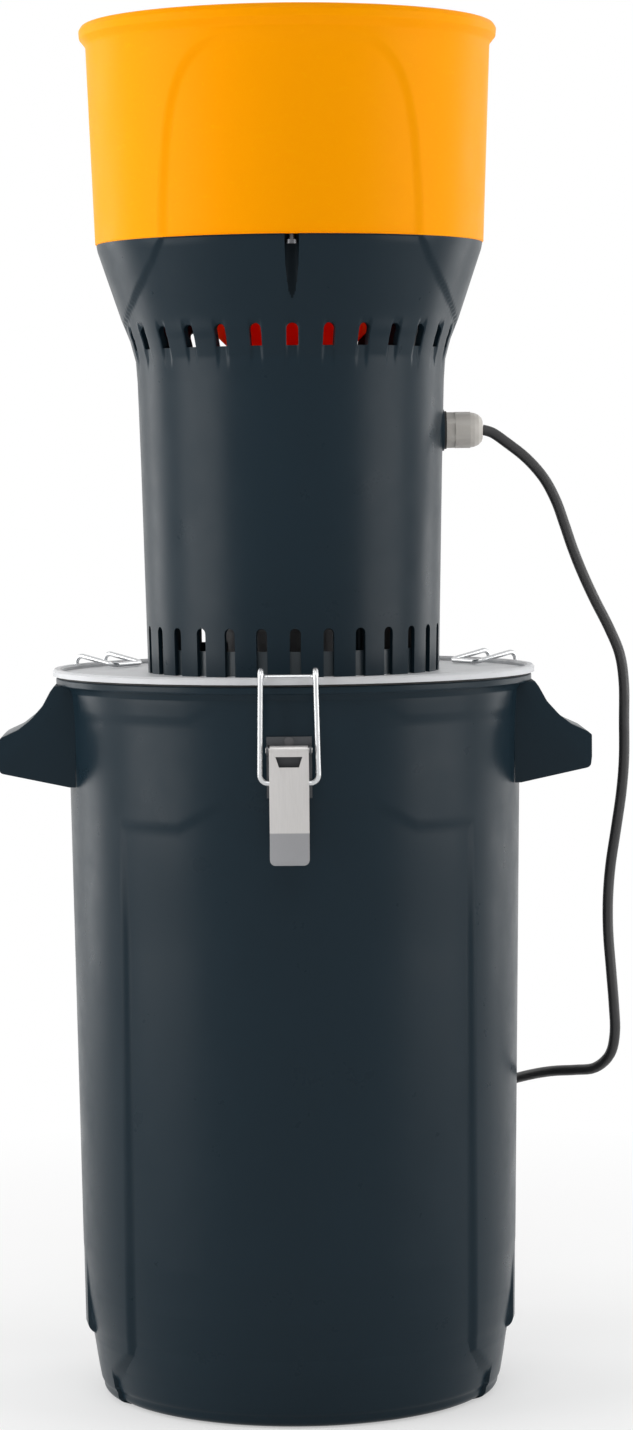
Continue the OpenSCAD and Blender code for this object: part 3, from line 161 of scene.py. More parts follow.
def turned(name, outline, columns, shape=None, closed=True):
    """A mesh of revolution of an outline of (radius, z) in mm. shape(azimuth, r, z) moves its points."""
    outline = np.array(outline, float)
    rows = len(outline)
    azimuth = np.linspace(0, 2 * pi, columns, endpoint=False)
    a, r = np.meshgrid(azimuth, outline[:, 0], indexing="ij")
    z = np.tile(outline[:, 1], (columns, 1))
    if shape:
        r, z = shape(a, r, z)
    points = np.stack([r * np.cos(a), r * np.sin(a), z], axis=-1) * MM
    column = np.arange(columns)
    after = (column + 1) % columns
    row = np.arange(rows if closed else rows - 1)
    up = (row + 1) % rows
    faces = np.stack([np.add.outer(column * rows, row), np.add.outer(after * rows, row),
                      np.add.outer(after * rows, up), np.add.outer(column * rows, up)], axis=-1)
    mesh = bpy.data.meshes.new(name)
    mesh.from_pydata(points.reshape(-1, 3).tolist(), [], faces.reshape(-1, 4).tolist())
    work = bmesh.new()
    work.from_mesh(mesh)
    bmesh.ops.remove_doubles(work, verts=work.verts, dist=WELD)
    bmesh.ops.recalc_face_normals(work, faces=work.faces)
    work.to_mesh(mesh)
    work.free()
    return mesh


def prism(outline, depth, place):
    """A closed prism of a 2D outline, centred on its own XY plane and placed by a matrix, all in mm."""
    work = bmesh.new()
    low = [work.verts.new((x, y, -depth / 2)) for x, y in outline]
    high = [work.verts.new((x, y, depth / 2)) for x, y in outline]
    work.faces.new(low[::-1])
    work.faces.new(high)
    for i in range(len(outline)):
        j = (i + 1) % len(outline)
        work.faces.new((low[i], low[j], high[j], high[i]))
    bmesh.ops.recalc_face_normals(work, faces=work.faces)
    work.transform(Matrix.Scale(MM, 4) @ place)
    mesh = bpy.data.meshes.new("prism")
    work.to_mesh(mesh)
    work.free()
    return mesh


def disc_outline(r, sides):
    return [(r * cos(2 * pi * k / sides), r * sin(2 * pi * k / sides)) for k in range(sides)]


def merged(meshes):
    """One mesh that holds several, which may pass through each other."""
    work = bmesh.new()
    for mesh in meshes:
        work.from_mesh(mesh)
    out = bpy.data.meshes.new("merged")
    work.to_mesh(out)
    work.free()
    return out


def applied(mesh, *modifiers):
    """The mesh after a stack of modifiers, each given as (type, values)."""
    carrier = bpy.data.objects.new("carrier", mesh)
    bpy.context.scene.collection.objects.link(carrier)
    helpers = []
    for kind, values in modifiers:
        modifier = carrier.modifiers.new(kind, kind)
        for key, value in values.items():
            if isinstance(value, bpy.types.Mesh):
                value = bpy.data.objects.new("cutter", value)
                bpy.context.scene.collection.objects.link(value)
                helpers.append(value)
            setattr(modifier, key, value)
    graph = bpy.context.evaluated_depsgraph_get()
    out = bpy.data.meshes.new_from_object(carrier.evaluated_get(graph))
    for o in [carrier] + helpers:
        bpy.data.objects.remove(o)
    return out


def cut(mesh, cutters):
    """The mesh less several closed ones, which may not pass through each other."""
    values = {"object": merged(cutters), "operation": "DIFFERENCE", "solver": "EXACT"}
    return applied(mesh, ("BOOLEAN", values))


def rounded(mesh, width, segments=2, angle=35):
    """The mesh with its edges that are sharper than an angle rounded over a width in mm."""
    return applied(mesh, ("BEVEL", {"width": width * MM, "segments": segments, "limit_method": "ANGLE",
                                    "angle_limit": radians(angle), "harden_normals": False}))


def around_z(azimuth):
    return Matrix.Rotation(radians(azimuth), 4, "Z")


def moved(x, y, z):
    return Matrix.Translation((x, y, z))


# Turns an outline in its own XY plane so that X stays, Y points up, and its own Z points along -Y
UPRIGHT = Matrix.Rotation(radians(90), 4, "X")
# Own Z along +X, own X along +Y, own Y up
FACING_X = Matrix(((0, 0, 1, 0), (1, 0, 0, 0), (0, 1, 0, 0), (0, 0, 0, 1)))


# Materials
PLASTIC_IOR = 1.5
ROUGH_FROM, ROUGH_TO = 0.3, 0.7


class Look:
    """A material's node tree, built around its Principled shader, in the piece's own metres."""

    def __init__(self, name, colour, roughness, metallic=0.0, specular=0.5):
        self.material = bpy.data.materials.new(name)
        self.material.use_nodes = True
        self.tree = self.material.node_tree
        self.shader = self.tree.nodes["Principled BSDF"]
        self.give({"Base Color": (*colour, 1), "Roughness": roughness, "Metallic": metallic,
                   "Specular IOR Level": specular, "IOR": PLASTIC_IOR})
        self.place = self.add("ShaderNodeTexCoord").outputs["Object"]
        self.height = None

    def give(self, values):
        for socket, value in values.items():
            self.shader.inputs[socket].default_value = value
        return self

    def add(self, kind, inputs=None, **values):
        node = self.tree.nodes.new(kind)
        for key, value in values.items():
            setattr(node, key, value)
        for key, value in (inputs or {}).items():
            if isinstance(value, bpy.types.NodeSocket):
                self.tree.links.new(value, node.inputs[key])
            else:
                node.inputs[key].default_value = value
        return node

    def stretched(self, x, y, z):
        return self.add("ShaderNodeMapping", {"Vector": self.place, "Scale": (x, y, z)}).outputs["Vector"]

    def noise(self, scale, detail, rough=0.55, place=None):
        return self.add("ShaderNodeTexNoise", {"Vector": place or self.place, "Scale": scale,
                                               "Detail": detail, "Roughness": rough}).outputs["Fac"]

    def ranged(self, value, low, high, to_low=0.0, to_high=1.0):
        return self.add("ShaderNodeMapRange", {"Value": value, "From Min": low, "From Max": high,
                                               "To Min": to_low, "To Max": to_high}).outputs["Result"]

    def maths(self, operation, a, b):
        return self.add("ShaderNodeMath", {0: a, 1: b}, operation=operation).outputs[0]

    def tint(self, factor, colour):
        """Mixes another colour into the base colour where factor is 1."""
        socket = self.shader.inputs["Base Color"]
        mix = self.add("ShaderNodeMix", {"Factor": factor}, data_type="RGBA")
        if socket.is_linked:
            self.tree.links.new(socket.links[0].from_socket, mix.inputs["A"])
        else:
            mix.inputs["A"].default_value = socket.default_value[:]
        mix.inputs["B"].default_value = (*colour, 1)
        self.tree.links.new(mix.outputs["Result"], socket)
        return self

    def layer(self, relief, low, high, colour, most=1.0):
        """Mixes a colour in, up to its most, as a relief rises from low to high."""
        return self.tint(self.ranged(relief, low, high, 0, most), colour)

    def rough_between(self, factor, low, high):
        value = self.ranged(factor, ROUGH_FROM, ROUGH_TO, low, high)
        self.tree.links.new(value, self.shader.inputs["Roughness"])
        return self

    def height_in_piece(self):
        return self.add("ShaderNodeSeparateXYZ", {0: self.place}).outputs["Z"]

    def bump(self, height, depth):
        """Adds a relief of depth metres under a height from 0 to 1."""
        node = self.add("ShaderNodeBump", {"Height": height, "Distance": depth, "Strength": 1.0})
        if self.height:
            self.tree.links.new(self.height, node.inputs["Normal"])
        self.height = node.outputs["Normal"]
        self.tree.links.new(self.height, self.shader.inputs["Normal"])
        return self


def shade(colour, factor):
    return tuple(min(1.0, c * factor) for c in colour)


def moulded(name, colour, roughness, grain=700, grain_depth=0.00003, mottle=0.12, specular=0.5):
    """Injection-moulded plastic: flow marks, fine specks, scuffs, and a fine and a broad relief."""
    look = Look(name, colour, roughness, specular=specular)
    flow = look.noise(9, detail=4, rough=0.6, place=look.stretched(1, 1, 0.35))
    look.layer(flow, 0.35, 0.7, shade(colour, 1 + mottle))
    specks = look.noise(grain * 0.6, detail=2)
    look.layer(specks, 0.6, 0.8, shade(colour, 1.4), most=0.25)
    scuffs = look.noise(40, detail=5, rough=0.7, place=look.stretched(1, 1, 3))
    look.layer(scuffs, 0.6, 0.8, shade(colour, 1.7), most=0.12)
    look.rough_between(look.noise(28, detail=5, rough=0.65), roughness - 0.05, roughness + 0.07)
    look.bump(look.noise(grain, detail=2), grain_depth)
    look.bump(look.noise(16, detail=2, place=look.stretched(1, 1, 0.5)), 0.00012)
    return look


def metal(name, colour, roughness, along=(1, 1, 0.03), scratch=1400, depth=0.000006, metallic=1.0):
    """Sheet or turned metal with fine brushing along one way, and finger marks."""
    look = Look(name, colour, roughness, metallic=metallic)
    lines = look.noise(scratch, detail=2, rough=0.6, place=look.stretched(*along))
    look.layer(lines, 0.4, 0.65, shade(colour, 0.85), most=0.3)
    look.layer(look.noise(35, detail=4, rough=0.7), 0.5, 0.9, shade(colour, 0.8), most=0.15)
    look.rough_between(look.noise(70, detail=5, rough=0.7), roughness - 0.04, roughness + 0.05)
    look.bump(lines, depth)
    return look


def rubbery(name, colour, roughness):
    look = Look(name, colour, roughness, specular=0.4)
    look.layer(look.noise(60, detail=4), 0.45, 0.75, shade(colour, 1.5), most=0.5)
    look.layer(look.noise(900, detail=2), 0.6, 0.75, shade(colour, 2.0), most=0.3)
    look.rough_between(look.noise(90, detail=4), roughness - 0.08, roughness + 0.08)
    look.bump(look.noise(1300, detail=2), 0.00002)
    return look


# Dry, dark mouldings mirror little of the white studio
NAVY = moulded("navy_moulded", (0.0080, 0.0180, 0.0262), 0.31, grain=900, grain_depth=0.000012,
               mottle=0.08, specular=0.12)
# The pockets' lining: the navy moulding darkened as painted shade in the recess
POCKET_PAINTED_SHADE = moulded("navy_pocket_painted_shade", (0.0030, 0.0060, 0.0085), 0.5, grain=900, grain_depth=0.000012, specular=0.06)
ORANGE = moulded("orange_moulded", (1.0, 0.345, 0.0), 0.4, grain=900, grain_depth=0.000008,
                 mottle=0.02, specular=0.03)
# The thin cone lets daylight through; its underside, the same orange plastic, is painted a deep red as painted
# light and shade inside the casing
UNDERSIDE_PAINTED_LIGHT = moulded("orange_underside_painted_light", (1.0, 0.10, 0.006), 0.5, grain=900, mottle=0.03, specular=0.1)
UNDERSIDE_PAINTED_LIGHT.give({"Subsurface Weight": 1.0, "Subsurface Radius": (1.0, 0.22, 0.05), "Subsurface Scale": 0.02})
BLACK = moulded("black_moulded", (0.012, 0.012, 0.013), 0.38, grain=1200)
PALE = moulded("pale_polyamide", (0.50, 0.475, 0.44), 0.42, grain=1400, grain_depth=0.000015, mottle=0.05)
RED = moulded("red_moulded", (0.42, 0.012, 0.008), 0.28, grain=1600, grain_depth=0.000008)
CASE = moulded("capacitor_case", (0.05, 0.05, 0.055), 0.45)
CORD = rubbery("cord_rubber", (0.026, 0.026, 0.027), 0.42)
SEAL = rubbery("seal_rubber", (0.015, 0.015, 0.015), 0.7)


def powder_coat(name):
    """Pale baked coat with a fine orange-peel relief and small chips."""
    colour = (0.56, 0.57, 0.585)
    look = Look(name, colour, 0.42)
    look.layer(look.noise(14, detail=4), 0.4, 0.7, shade(colour, 0.93))
    look.layer(look.noise(420, detail=3), 0.66, 0.78, shade(colour, 0.7), most=0.35)
    look.rough_between(look.noise(50, detail=4), 0.36, 0.5)
    look.bump(look.noise(520, detail=2), 0.00005)
    return look


def laminated():
    """The motor's stack of sheets, with traces of rust between them."""
    look = Look("motor_laminations", (0.20, 0.20, 0.205), 0.5, metallic=0.8)
    waves = {"Vector": look.place, "Scale": 320.0, "Distortion": 0.4, "Detail": 2.0}
    sheets = look.add("ShaderNodeTexWave", waves, bands_direction="Z").outputs["Fac"]
    look.layer(sheets, 0.2, 0.9, (0.05, 0.05, 0.055), most=0.6)
    look.layer(look.noise(40, detail=4), 0.6, 0.8, (0.16, 0.09, 0.05), most=0.4)
    look.rough_between(look.noise(60, detail=4), 0.42, 0.62)
    look.bump(sheets, 0.0001)
    return look


def wound_copper():
    """Enamelled wire wound around the stator's bore."""
    look = Look("enamelled_copper", (0.55, 0.20, 0.06), 0.3, metallic=0.9)
    waves = {"Vector": look.place, "Scale": 260.0, "Distortion": 3.0, "Detail": 2.0, "Detail Scale": 2.0}
    turns = look.add("ShaderNodeTexWave", waves, wave_type="RINGS", rings_direction="Z").outputs["Fac"]
    look.layer(turns, 0.1, 0.8, (0.20, 0.06, 0.015), most=0.6)
    look.rough_between(look.noise(80, detail=4), 0.24, 0.42)
    look.bump(turns, 0.0003)
    return look


BRUSHED = (0.58, 0.565, 0.555)
# The lid's collar ends under these, and the levers' bent tips, which carry painted shade, are this long, in
# metres
COLLAR_EDGE = 0.106
COLLAR_FOOT = 0.540
COLLAR_FADE = 0.0002
TIP_L = 0.022
TIP_FADE = 0.0008
TIP_SHADE_AMOUNT = 0.85


def lid_coat():
    """The pale coat of the lid, with its collar inside the casing in the casing's dark colour."""
    look = powder_coat("lid_coat")
    level = look.stretched(1, 1, 0)
    from_axis = look.add("ShaderNodeVectorMath", {0: level}, operation="LENGTH").outputs["Value"]
    near = look.ranged(from_axis, COLLAR_EDGE - COLLAR_FADE, COLLAR_EDGE + COLLAR_FADE, 1, 0)
    above = look.ranged(look.height_in_piece(), COLLAR_FOOT - COLLAR_FADE, COLLAR_FOOT + COLLAR_FADE)
    return look.tint(look.maths("MULTIPLY", near, above), (0.011, 0.021, 0.028))


def lever_steel(tip):
    """Brushed steel with painted shade on its bent tip, which faces the darker floor, below the height tip in
    metres.
    """
    look = metal("brushed_lever", BRUSHED, 0.34, metallic=0.35)
    # Painted shade and reflection of the darker floor on the bent tip
    tip_shade = look.ranged(look.height_in_piece(), tip, tip + TIP_FADE, TIP_SHADE_AMOUNT, 0)
    return look.tint(tip_shade, (0.24, 0.245, 0.26))


def cast_alloy():
    """Casting with a coarse skin, its colour darkened as painted shade for the dark inside of the casing."""
    colour = (0.13, 0.13, 0.135)
    look = Look("cast_aluminium_painted_shade", colour, 0.5, metallic=0.5)
    look.layer(look.noise(180, detail=5, rough=0.7), 0.5, 0.75, shade(colour, 0.7), most=0.5)
    look.rough_between(look.noise(120, detail=4), 0.42, 0.62)
    look.bump(look.noise(650, detail=4, rough=0.7), 0.00009)
    return look


def woven_strap():
    """Woven tie with a plain weave."""
    colour = (0.018, 0.018, 0.02)
    look = Look("woven_strap", colour, 0.8)
    threads = {"Vector": look.place, "Scale": 480.0}
    warp = look.add("ShaderNodeTexWave", threads, bands_direction="Y").outputs["Fac"]
    weft = look.add("ShaderNodeTexWave", threads, bands_direction="X").outputs["Fac"]
    weave = look.maths("MULTIPLY", warp, weft)
    look.layer(weave, 0.2, 0.9, shade(colour, 3), most=0.6)
    look.rough_between(look.noise(200, detail=3), 0.7, 0.9)
    look.bump(weave, 0.0002)
    return look


COAT = powder_coat("powder_coat")
IRON = laminated()
COPPER = wound_copper()
ALLOY_PAINTED_SHADE = cast_alloy()
STRAP = woven_strap()
STEEL = metal("brushed_stainless", BRUSHED, 0.34, metallic=0.35)
WIRE = metal("drawn_wire", (0.62, 0.63, 0.64), 0.24, along=(1, 1, 0.1), scratch=900, metallic=0.7)
ZINC = metal("zinc_plate", (0.55, 0.56, 0.57), 0.36, along=(1, 1, 1), scratch=700, depth=0.00001,
             metallic=0.75)
BLACKED = metal("blackened_steel", (0.10, 0.10, 0.105), 0.42, along=(1, 1, 1), scratch=700, metallic=0.8)
DULL = metal("dull_steel", (0.07, 0.074, 0.08), 0.42, metallic=0.5)
TURNED = metal("turned_steel", (0.5, 0.5, 0.5), 0.22, along=(0.05, 0.05, 1), scratch=1200)


# Cord and its coil, in mm
GLAND_END = (142.372, 0, 717.4)
CORD_D = 8.0
ROUTE = [GLAND_END, (150, 0, 715), (160, 0, 708), (175, 0, 696), (188, 0, 681),
         (197, 0, 664), (203, 0, 647), (209, 0, 629), (216, 0, 611), (225, 0, 591), (236, 0, 569),
         (244, 0, 549), (247, 0, 527), (247, 0, 500), (247, 2, 471), (245, 4, 445), (241, 6, 417),
         (237, 8, 390), (235, 9, 365), (235, 9, 339), (237, 8, 310), (239, 9, 284), (240, 13, 262),
         (237, 23, 244), (227, 37, 232), (213, 53, 228), (198, 69, 225), (183, 87, 220), (165, 108, 212),
         (143, 130, 200), (117, 150, 184), (88, 166, 163), (62, 176, 130), (44, 182, 96), (32, 187, 62),
         (25, 191, 34), (17, 193, 15), (8, 194, 6.4), (0, 194, 5.1)]
COIL_CENTRE = (-10, 247)
COIL_R = 44
COIL_TURNS = 3.5
COIL_PITCH = 9
COIL_HALF = 2
COIL_RINGS = 40
COIL_LOW = 5.1
LAYER_RISE = 8.6
LAYER_RUN = 0.25
TAIL_Z = 18.5
TAIL_L = 30
TAIL_RUN = 0.5
ROUTE_STEPS = 5


def smooth_path(points, steps):
    """A Catmull-Rom curve through the points."""
    points = [Vector(p) for p in points]
    out = []
    for i in range(len(points) - 1):
        p0, p1 = points[max(i - 1, 0)], points[i]
        p2, p3 = points[i + 1], points[min(i + 2, len(points) - 1)]
        for k in range(steps):
            t = k / steps
            out.append(0.5 * (2 * p1 + (p2 - p0) * t + (2 * p0 - 5 * p1 + 4 * p2 - p3) * t * t
                              + (3 * p1 - p0 - 3 * p2 + p3) * t * t * t))
    return out + [points[-1]]


def ramp(t, low, high):
    """A smooth rise from 0 to 1 as t goes from low to high."""
    s = min(1.0, max(0.0, (t - low) / (high - low)))
    return s * s * (3 - 2 * s)


def coil_point(t):
    """The coil after t turns: inwards on the floor, then outwards in a second layer, then up to the plug."""
    angle = radians(270 - 360 * t)
    r = COIL_R + COIL_PITCH * COIL_HALF / 2 - COIL_PITCH * min(t, 2 * COIL_HALF - t)
    z = (COIL_LOW + LAYER_RISE * ramp(t, COIL_HALF - LAYER_RUN, COIL_HALF + LAYER_RUN)
         + (TAIL_Z - COIL_LOW - LAYER_RISE) * ramp(t, COIL_TURNS - TAIL_RUN, COIL_TURNS))
    return Vector((COIL_CENTRE[0] + r * cos(angle), COIL_CENTRE[1] + r * sin(angle), z))


def make_cord():
    coil = [coil_point(i / COIL_RINGS) for i in range(int(COIL_TURNS * COIL_RINGS) + 1)]
    tail = [coil[-1] + Vector((TAIL_L * part, 0, 0)) for part in (0.5, 1)]
    path = [p * MM for p in smooth_path(ROUTE, ROUTE_STEPS) + coil + tail]
    curve = bpy.data.curves.new("power_cord_line", "CURVE")
    curve.dimensions = "3D"
    curve.bevel_depth = CORD_D / 2 * MM
    curve.bevel_resolution = 5
    curve.use_fill_caps = True
    spline = curve.splines.new("POLY")
    spline.points.add(len(path) - 1)
    spline.points.foreach_set("co", [c for p in path for c in (*p, 1.0)])
    curve.materials.append(CORD.material)
    piece = bpy.data.objects.new("power_cord_line", curve)
    bpy.context.scene.collection.objects.link(piece)
    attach(piece, "housing")
    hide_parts("power_cord", "cord_coil")


make_cord()

# Sizes that the skins share, in mm
LIP_LOW = 531
BUCKET_TOP = 536.5
LID_TOP = 539.6
NECK = 770
CASING_TOP = 856
HOPPER_TOP = 1017
SLOTS = 28
SLOT_TURN = 360 / SLOTS
SCREW_AZIMUTHS = (270, 30, 150)


def soft_step(value, low, high):
    """The rise of ramp(), for arrays."""
    t = np.clip((value - low) / (high - low), 0, 1)
    return t * t * (3 - 2 * t)


def inside_depth(x, y, outline):
    """Signed distance from points to a closed outline, positive inside."""
    best = np.full(x.shape, 1e9)
    inside = np.zeros(x.shape, bool)
    for (x0, y0), (x1, y1) in zip(outline, outline[1:] + outline[:1]):
        dx, dy = x1 - x0, y1 - y0
        t = np.clip(((x - x0) * dx + (y - y0) * dy) / (dx * dx + dy * dy), 0, 1)
        best = np.minimum(best, np.hypot(x - x0 - t * dx, y - y0 - t * dy))
        if dy:
            crossing = (y0 > y) != (y1 > y)
            inside ^= crossing & (x < x0 + (y - y0) * dx / dy)
    return np.where(inside, best, -best)


def both_sides(half):
    """An outline that mirrors its half about X = 0."""
    return half + [(-x, y) for x, y in reversed(half)]


# Bucket
BUCKET_OUTLINE = [(140, 0), (150, 10), (156, 44), (160.25, 78.5), (162.5, 113), (168.5, 506), (170, 526),
                  (172.5, LIP_LOW), (177.2, LIP_LOW), (177.2, BUCKET_TOP), (169.5, BUCKET_TOP)]
BUCKET_FILLETS = [0, 9, 2, 30, 60, 30, 4, 0.8, 1.4, 1.2, 0]
BUCKET_INSIDE = [(169.5, BUCKET_TOP), (167, 526), (165.4, 506), (153.2, 44), (146.8, 11), (139.5, 3.2),
                 (120, 3)]
# Points beyond these radii at these heights belong to the outside
OUTSIDE_Z = [0, 10, 44, 113, 506, 526, 531, 537]
OUTSIDE_R = [136, 147, 154, 160.5, 166.4, 168, 170, 176]
SKIN_TOP = 529
WALL_TOP = 526
BUCKET_COLUMNS = 720
ROW_STEP = 3.4
# The lugs' undersides need finer rows
FINE_LOW, FINE_FIRST, FINE_HIGH, FINE_STEP = 43, 43.4, 51, 0.8
# Panels and belts keep to the front and rear, farther from the middle than FACING
FACING = 60
PANEL = both_sides([(55, 453), (86, 435), (127, 435), (127, 44), (146, 12), (146, -60)])
# The panels are deeper by PANEL_MORE towards the foot
PANEL_DEPTH = 0.9
PANEL_MORE = 2.1
PANEL_MORE_BELOW, PANEL_MORE_OVER = 430, 90
BELT = both_sides([(62, 519), (80, 511), (190, 511), (190, 560)])
BELT_RISE = 0.45
BELT_TOP = 528
LUG_HALF = 30
LUG_CORNER = 14
LUG_TOP = 113
LUG_Z = [47, 52, 109, 116]
LUG_R = [157.2, 161.4, 162.2, 162.4]
LUG_MOST_R = 162.2
CREASE_DEPTH = 0.5
CREASE_Z = 54


def bucket_skin(a, r, z):
    """Sunk panels at the front and rear, a belt above them, two lugs, and a crease above the foot."""
    x, y = r * np.cos(a), r * np.sin(a)
    away = np.abs(y)
    outside = r > np.interp(z, OUTSIDE_Z, OUTSIDE_R)
    facing = away > FACING
    sunk = PANEL_DEPTH + PANEL_MORE * soft_step(PANEL_MORE_BELOW - z, 0, PANEL_MORE_OVER)
    recess = soft_step(inside_depth(x, z, PANEL), -1.6, 3.6) * sunk * facing
    belt = BELT_RISE * soft_step(inside_depth(x, z, BELT), -1.2, 1.2) * facing * soft_step(BELT_TOP - z, 0, 4)
    past_corner = away - LUG_HALF + LUG_CORNER
    drop = LUG_CORNER - np.sqrt(np.clip(LUG_CORNER ** 2 - past_corner ** 2, 0, None))
    top = LUG_TOP - np.where(past_corner > 0, drop, 0)
    lug = soft_step(LUG_HALF - away, -0.6, 0.9) * soft_step(z, 46.2, 48.6) * soft_step(top - z, -1.5, 5)
    lug_r = np.minimum(LUG_MOST_R, np.interp(z, LUG_Z, LUG_R))
    crease = CREASE_DEPTH * soft_step(CREASE_Z - z, -3, 3) * soft_step(z, 20, 46)
    out = r - recess + belt - crease
    out = np.where(lug > 0, np.maximum(out, out + (lug_r - out) * lug), out)
    return np.where(outside & (z < SKIN_TOP), out, r), z


def bucket_mesh():
    """Floor, foot, wall, lip and inside as one turned skin."""
    foot = fillet([(140, 0), (147.1, 2.2), (150, 10)], [0, 6, 0], steps=6)
    profile = foot[:-1] + [p for p in fillet(BUCKET_OUTLINE, BUCKET_FILLETS, steps=5) if p[1] > 8.5]
    wall = spaced([p for p in profile if p[1] <= WALL_TOP], ROW_STEP)
    lip = [p for p in profile if p[1] > WALL_TOP]
    fine = np.arange(FINE_FIRST, FINE_HIGH, FINE_STEP)
    rows = [p for p in wall if not FINE_LOW < p[1] < FINE_HIGH]
    rows += [(float(np.interp(z, [44, 78.5], [156, 160.25])), float(z)) for z in fine]
    rows.sort(key=lambda p: p[1])
    inside = spaced(BUCKET_INSIDE, 12)[1:] + [(60, 3), (0.01, 3)]
    outline = [(0.01, 0), (70, 0), (132, 0)] + rows + lip + inside
    return turned("bucket_skin", outline, BUCKET_COLUMNS, bucket_skin, closed=False)


EAR = [(156, 457), (166.5, 457), (218, 468), (219, 476), (219, 492), (216, 494.5), (204, 500), (195, 507),
       (186, 517), (180, 528), (177, 532), (156, 532)]
EAR_FILLETS = [0, 2, 4, 4, 2, 4, 14, 18, 18, 8, 1, 0]
EAR_W = 92
EAR_EDGE = 1.1
EAR_FROM_R = 168.3
EAR_HOLLOW = [(155, 448), (216, 448), (216, 489.5), (202, 496), (192, 503.5), (182.5, 514), (176, 524),
              (155, 524)]
EAR_HOLLOW_W = 86


def ear_mesh(azimuth):
    """One ear, open below, that starts inside the bucket's wall."""
    outer = prism(fillet(EAR, EAR_FILLETS, steps=4), EAR_W, UPRIGHT)
    hollow = prism(EAR_HOLLOW, EAR_HOLLOW_W, UPRIGHT)
    ear = rounded(cut(outer, [hollow]), EAR_EDGE, segments=3, angle=40)
    bucket = prism(disc_outline(EAR_FROM_R, 96), 400, moved(0, 0, 500))
    ear = cut(ear, [bucket])
    ear.transform(around_z(azimuth))
    return ear


def make_bucket():
    mesh = merged([bucket_mesh(), ear_mesh(0), ear_mesh(180)])
    smooth_by_angle(mesh, angle=38)
    piece = link("bucket_skin", mesh, NAVY.material, "housing", "bucket")


# Casing
CASING_OUTER = [(108.6, LID_TOP), (112.1, 695), (113.9, 755), (115, NECK), (119, 785), (125, 800),
                (142.2, 851), (143, 855), (143, CASING_TOP)]
CASING_INNER = [(129, CASING_TOP), (129, 848), (134, 848), (119, 800), (113, 785), (109.5, NECK),
                (109.5, 755), (108.8, 695), (105.6, LID_TOP)]
CASING_COLUMNS = 896
# The panel under the arch goes on down the cone: its half width, in degrees from the front, by height
LEG_Z = [760, 796, 802, 812, 826, 840, CASING_TOP]
LEG_AZIMUTH = [88, 84, 74, 64, 54, 46.5, 40.5]
LEG_DEPTH = 1.7
# A soft groove runs down from each upper slot
GROOVE_DEPTH = 1.9
GROOVE_HALF = 4.3
UPPER_SLOTS = {"width": 8.5, "low": 778, "high": 794, "from_r": 103, "to_r": 150}
LOWER_SLOTS = {"width": 8, "low": 537, "high": 574.8, "from_r": 100.6, "to_r": 130}
GLAND_PAD_R = 15.5
GLAND_PAD_AT = (110.77, 0, 717.4)
SWITCH_PAD = [(-19, 640), (19, 640), (19, 670), (-19, 670)]
SWITCH_PAD_Y = 109.6
PAD_DEPTH = 6
POCKET_R = 5.2
POCKET_L = 58
POCKET_AT = (137.2, 0, 833.5)
POCKET_SLOPE = 11.7
# Faces within this radius of a pocket's axis, in mm, and above this height, in metres, line the pocket and get
# its painted shade
POCKET_WALL_R = 5.3
POCKET_FROM_Z = 0.8
BOSS_AT_R = 88
BOSS_R = 5.5
BOSS_L = 44
BOSS_Z = 561.6
BOSS_RIB = [(0, 554), (19.4, 554), (19.4, 583), (0, 583)]


def casing_skin(a, r, z):
    """The panel between the arch's legs and the grooves under the upper slots, sunk into the outside."""
    wall = np.interp(z, [p[1] for p in CASING_OUTER], [p[0] for p in CASING_OUTER])
    outside = (r > wall - 1.2) & (z < CASING_TOP - 0.8)
    from_front = np.degrees(np.abs(np.arctan2(np.cos(a), np.abs(np.sin(a)))))
    inwards = (np.interp(z, LEG_Z, LEG_AZIMUTH) - from_front) * pi / 180 * r
    recess = LEG_DEPTH * soft_step(inwards, -2.4, 2.4) * soft_step(z, 786, 802)
    slot = (np.degrees(a) + SLOT_TURN / 2 - 270) % SLOT_TURN - SLOT_TURN / 2
    across = np.abs(slot) * pi / 180 * r
    groove = GROOVE_DEPTH * soft_step(GROOVE_HALF - across, -1.0, 1.6)
    groove = groove * soft_step(z, 760, 781) * soft_step(797 - z, 0, 4)
    return np.where(outside, r - recess - groove, r), z


def slot_cutters(width, low, high, from_r, to_r):
    """A ring of cutters with round tops, the first one at the front."""
    half = width / 2
    top = [(half * cos(t), high - half + half * sin(t)) for t in np.linspace(0, pi, 9)]
    outline = [(-half, low), (half, low)] + top
    place = moved((from_r + to_r) / 2, 0, 0) @ FACING_X
    return [prism(outline, to_r - from_r, around_z(270 + i * SLOT_TURN) @ place) for i in range(SLOTS)]


def casing_pads():
    """The flats for the gland and for the switch."""
    gland = prism(disc_outline(GLAND_PAD_R, 64), PAD_DEPTH, moved(*GLAND_PAD_AT) @ FACING_X)
    switch = prism(SWITCH_PAD, PAD_DEPTH, moved(0, SWITCH_PAD_Y, 0) @ UPRIGHT)
    return [rounded(pad, 0.5) for pad in (gland, switch)]


def casing_bosses():
    """Four screw bosses near the lid, each with its rib to the wall."""
    out = []
    for i in range(4):
        at = around_z(SLOT_TURN * 2.5 + 90 * i)
        out.append(prism(disc_outline(BOSS_R, 32), BOSS_L, at @ moved(BOSS_AT_R, 0, BOSS_Z)))
        out.append(prism(BOSS_RIB, 3, at @ moved(BOSS_AT_R, 0, 0) @ UPRIGHT))
    return out


